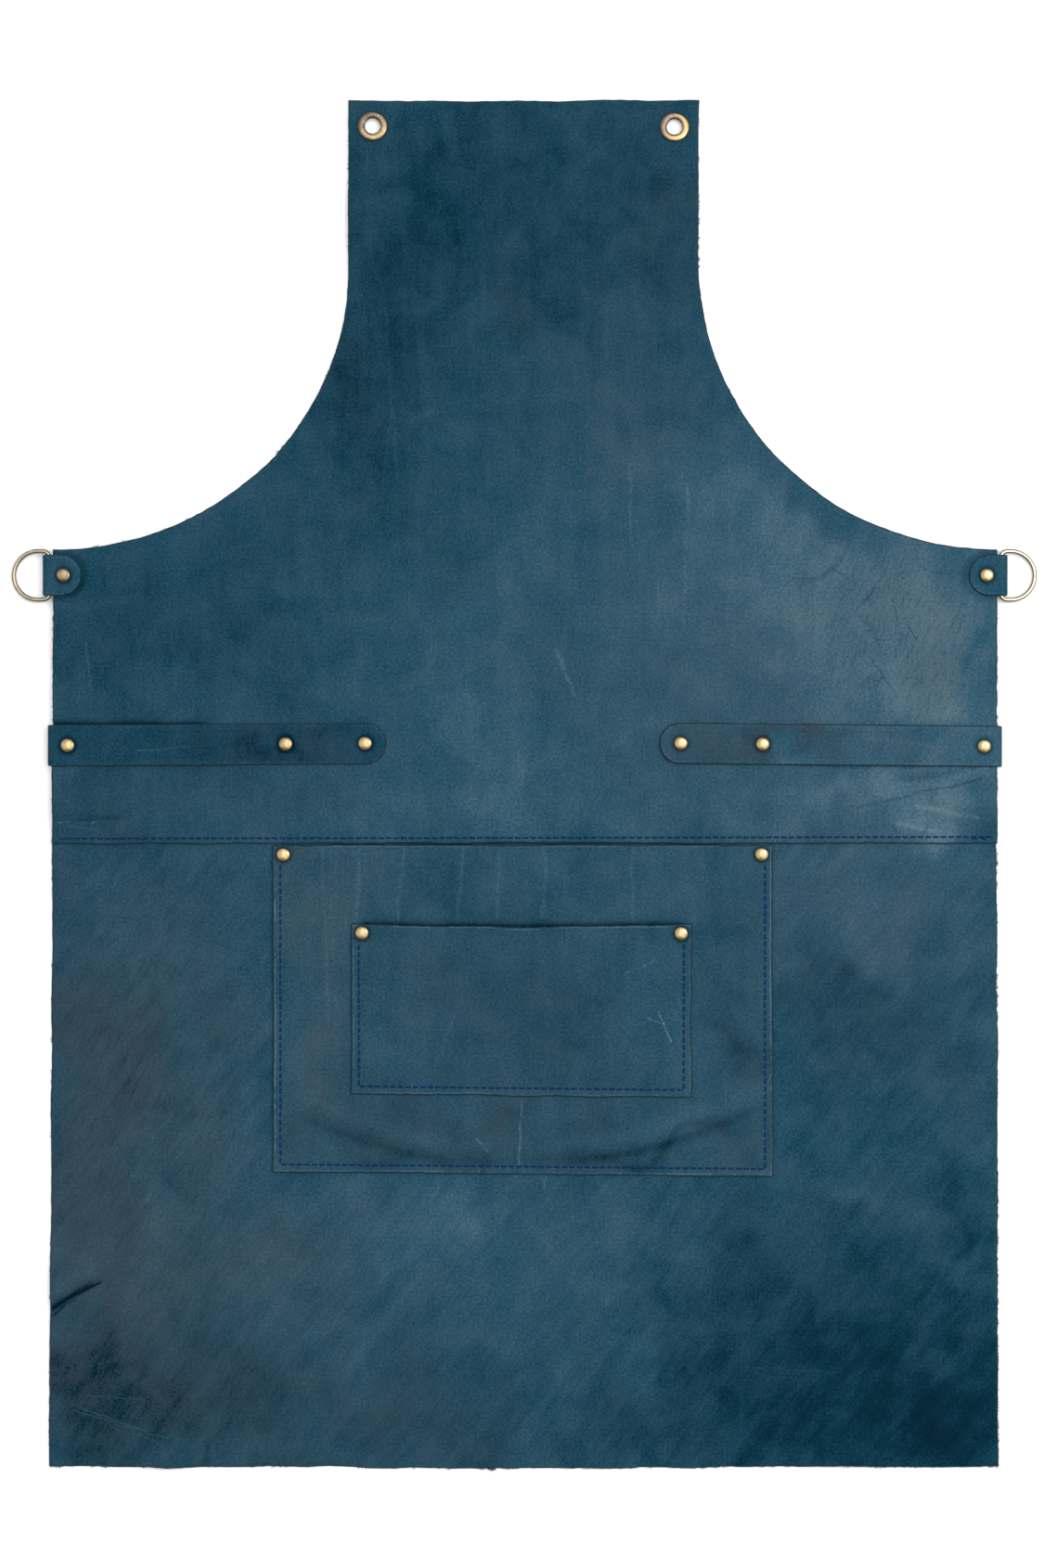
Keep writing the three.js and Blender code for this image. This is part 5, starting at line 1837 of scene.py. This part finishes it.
# %% Loose fibres
TUFTS, TUFT_FIBRES = 460, 6
TUFT_SPREAD = 2  # places along the edge, to either side
FIBRE_SEED = 5
FIBRE_LENGTH, LENGTH_SPREAD = 0.6, 0.5
LONGEST_FIBRE = 3 * FIBRE_LENGTH
FIBRE_LEAN, FIBRE_CURL = 0.6, 0.3
FIBRE_LEVELS = (0.3, 1.3)  # heights at which fibres leave the cut
FIBRE_ROOT = 0.5  # how far inside the edge they start
FIBRE_RADIUS = 0.20
FIBRE_TAPER, FIBRE_DROOP = 0.7, 0.4
FIBRE_JOINTS = 4
FIBRE_CORNERS = (0.5, 2.6, 4.7)  # radians round the tube
FRAY_X, FRAY_HALF, FRAY_LONGER = -17.0, 16.0, 1.5  # the hem is frayed here
FUZZ = {"hem": 0.7, "fray": 3.2, "left": 0.25, "left_top": 1.8, "right": 2.4, "armhole": 0.15, "bib": 0.8}
FUZZ_TOP_Y = -60.0  # the left edge is fuzzier above this
EDGE_PLACES = {"hem": 900, "side": 900, "armhole": 400, "bib": 150}


def outer_edges():
    """Points, outward directions and likeliness of a tuft along the free edges."""
    across = np.linspace(-SIDES["left"]["hem"], SIDES["right"]["hem"], EDGE_PLACES["hem"])[::-1]
    lines = [np.stack((across, hem_y(across)), axis=1)]
    chances = [FUZZ["hem"] + FUZZ["fray"] * np.exp(-(((across - FRAY_X) / FRAY_HALF) ** 2))]
    down = np.linspace(WAIST_Y, -HALF_LENGTH, EDGE_PLACES["side"])
    for side, sign in SIDE_SIGN.items():
        edge = np.stack((edge_x(side, down), down), axis=1)[::sign]
        bib_y = np.linspace(HALF_LENGTH, SIDES[side]["armhole_top"], EDGE_PLACES["bib"])
        bib = np.stack((np.full_like(bib_y, sign * SIDES[side]["bib"]), bib_y), axis=1)[::sign]
        lines += [edge, quarter_armhole(side, EDGE_PLACES["armhole"])[::-sign], bib]
        top = FUZZ["left_top"] if side == "left" else FUZZ["right"]
        chances.append(np.where(edge[:, 1] > FUZZ_TOP_Y, top, FUZZ[side]))
        chances += [np.full(EDGE_PLACES[name], FUZZ[name]) for name in ("armhole", "bib")]
    points = np.concatenate([line[1:-1] for line in lines])
    along = np.concatenate([line[2:] - line[:-2] for line in lines])
    likely = np.concatenate([row[1:-1] for row in chances])
    return points, left_of(along), likely / likely.sum()


def one_fibre(root, out, reach, lean, curl, level):
    """Points of a thin three-sided tube that bends as it leaves the cut."""
    base = lay(root[:1], root[1:])[0] + level
    points = []
    for share in np.linspace(0, 1, FIBRE_JOINTS):
        heading = out + (lean + curl) * share
        middle = root + (reach + FIBRE_ROOT) * share * np.array((math.cos(heading), math.sin(heading)))
        radius = FIBRE_RADIUS * (1 - FIBRE_TAPER * share)
        for corner in FIBRE_CORNERS:
            side = radius * math.cos(corner)
            z = base * (1 - FIBRE_DROOP * share) + radius * math.sin(corner)
            points.append((middle[0] - side * math.sin(heading), middle[1] + side * math.cos(heading), z))
    return points


def shed_fibres():
    chance = np.random.default_rng(FIBRE_SEED)
    edge, outward, likely = outer_edges()
    tufts = np.repeat(chance.choice(len(edge), TUFTS, p=likely), TUFT_FIBRES)
    count = len(tufts)
    spread = chance.integers(-TUFT_SPREAD, TUFT_SPREAD + 1, count)
    chosen = np.clip(tufts + spread, 0, len(edge) - 1)
    length = np.minimum(FIBRE_LENGTH * chance.lognormal(0, LENGTH_SPREAD, count), LONGEST_FIBRE)
    frayed = (np.abs(edge[chosen, 0] - FRAY_X) < 2 * FRAY_HALF) & (edge[chosen, 1] < 0)
    length[frayed] *= FRAY_LONGER
    lean = chance.normal(0, FIBRE_LEAN, count)
    curl = chance.normal(0, FIBRE_CURL, count)
    height = chance.uniform(*FIBRE_LEVELS, count)
    pattern = tube_faces(FIBRE_JOINTS, len(FIBRE_CORNERS))
    points, faces = [], []
    for spot, *shape in zip(chosen, length, lean, curl, height):
        root = edge[spot] - FIBRE_ROOT * outward[spot]
        out = math.atan2(outward[spot][1], outward[spot][0])
        faces += [[len(points) + index for index in face] for face in pattern]
        points += one_fibre(root, out, *shape)
    piece = show_mesh("edge_fibres", points, faces)
    piece.data.materials.append(EDGE)
    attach(piece, "apron")
    return piece


edge_fibres = shed_fibres()
print(edge_fibres.name, "has", TUFTS * TUFT_FIBRES, "fibres")

# %% [markdown]
# The last lines work out the area of the flat outline of the upper panel and of each strap and tab.


def outline_area(outline):
    ahead = np.roll(outline, -1, axis=0)
    return abs((outline[:, 0] * ahead[:, 1] - outline[:, 1] * ahead[:, 0]).sum()) / 2 * MM * MM


outline_area(upper_outline())
for side in SIDE_SIGN:
    strap_outline, _ = tongue_outline(cut_length["strap", side], False)
    tab_outline, _ = tongue_outline(cut_length["tab", side], True)
    outline_area(strap_outline)
    outline_area(tab_outline)
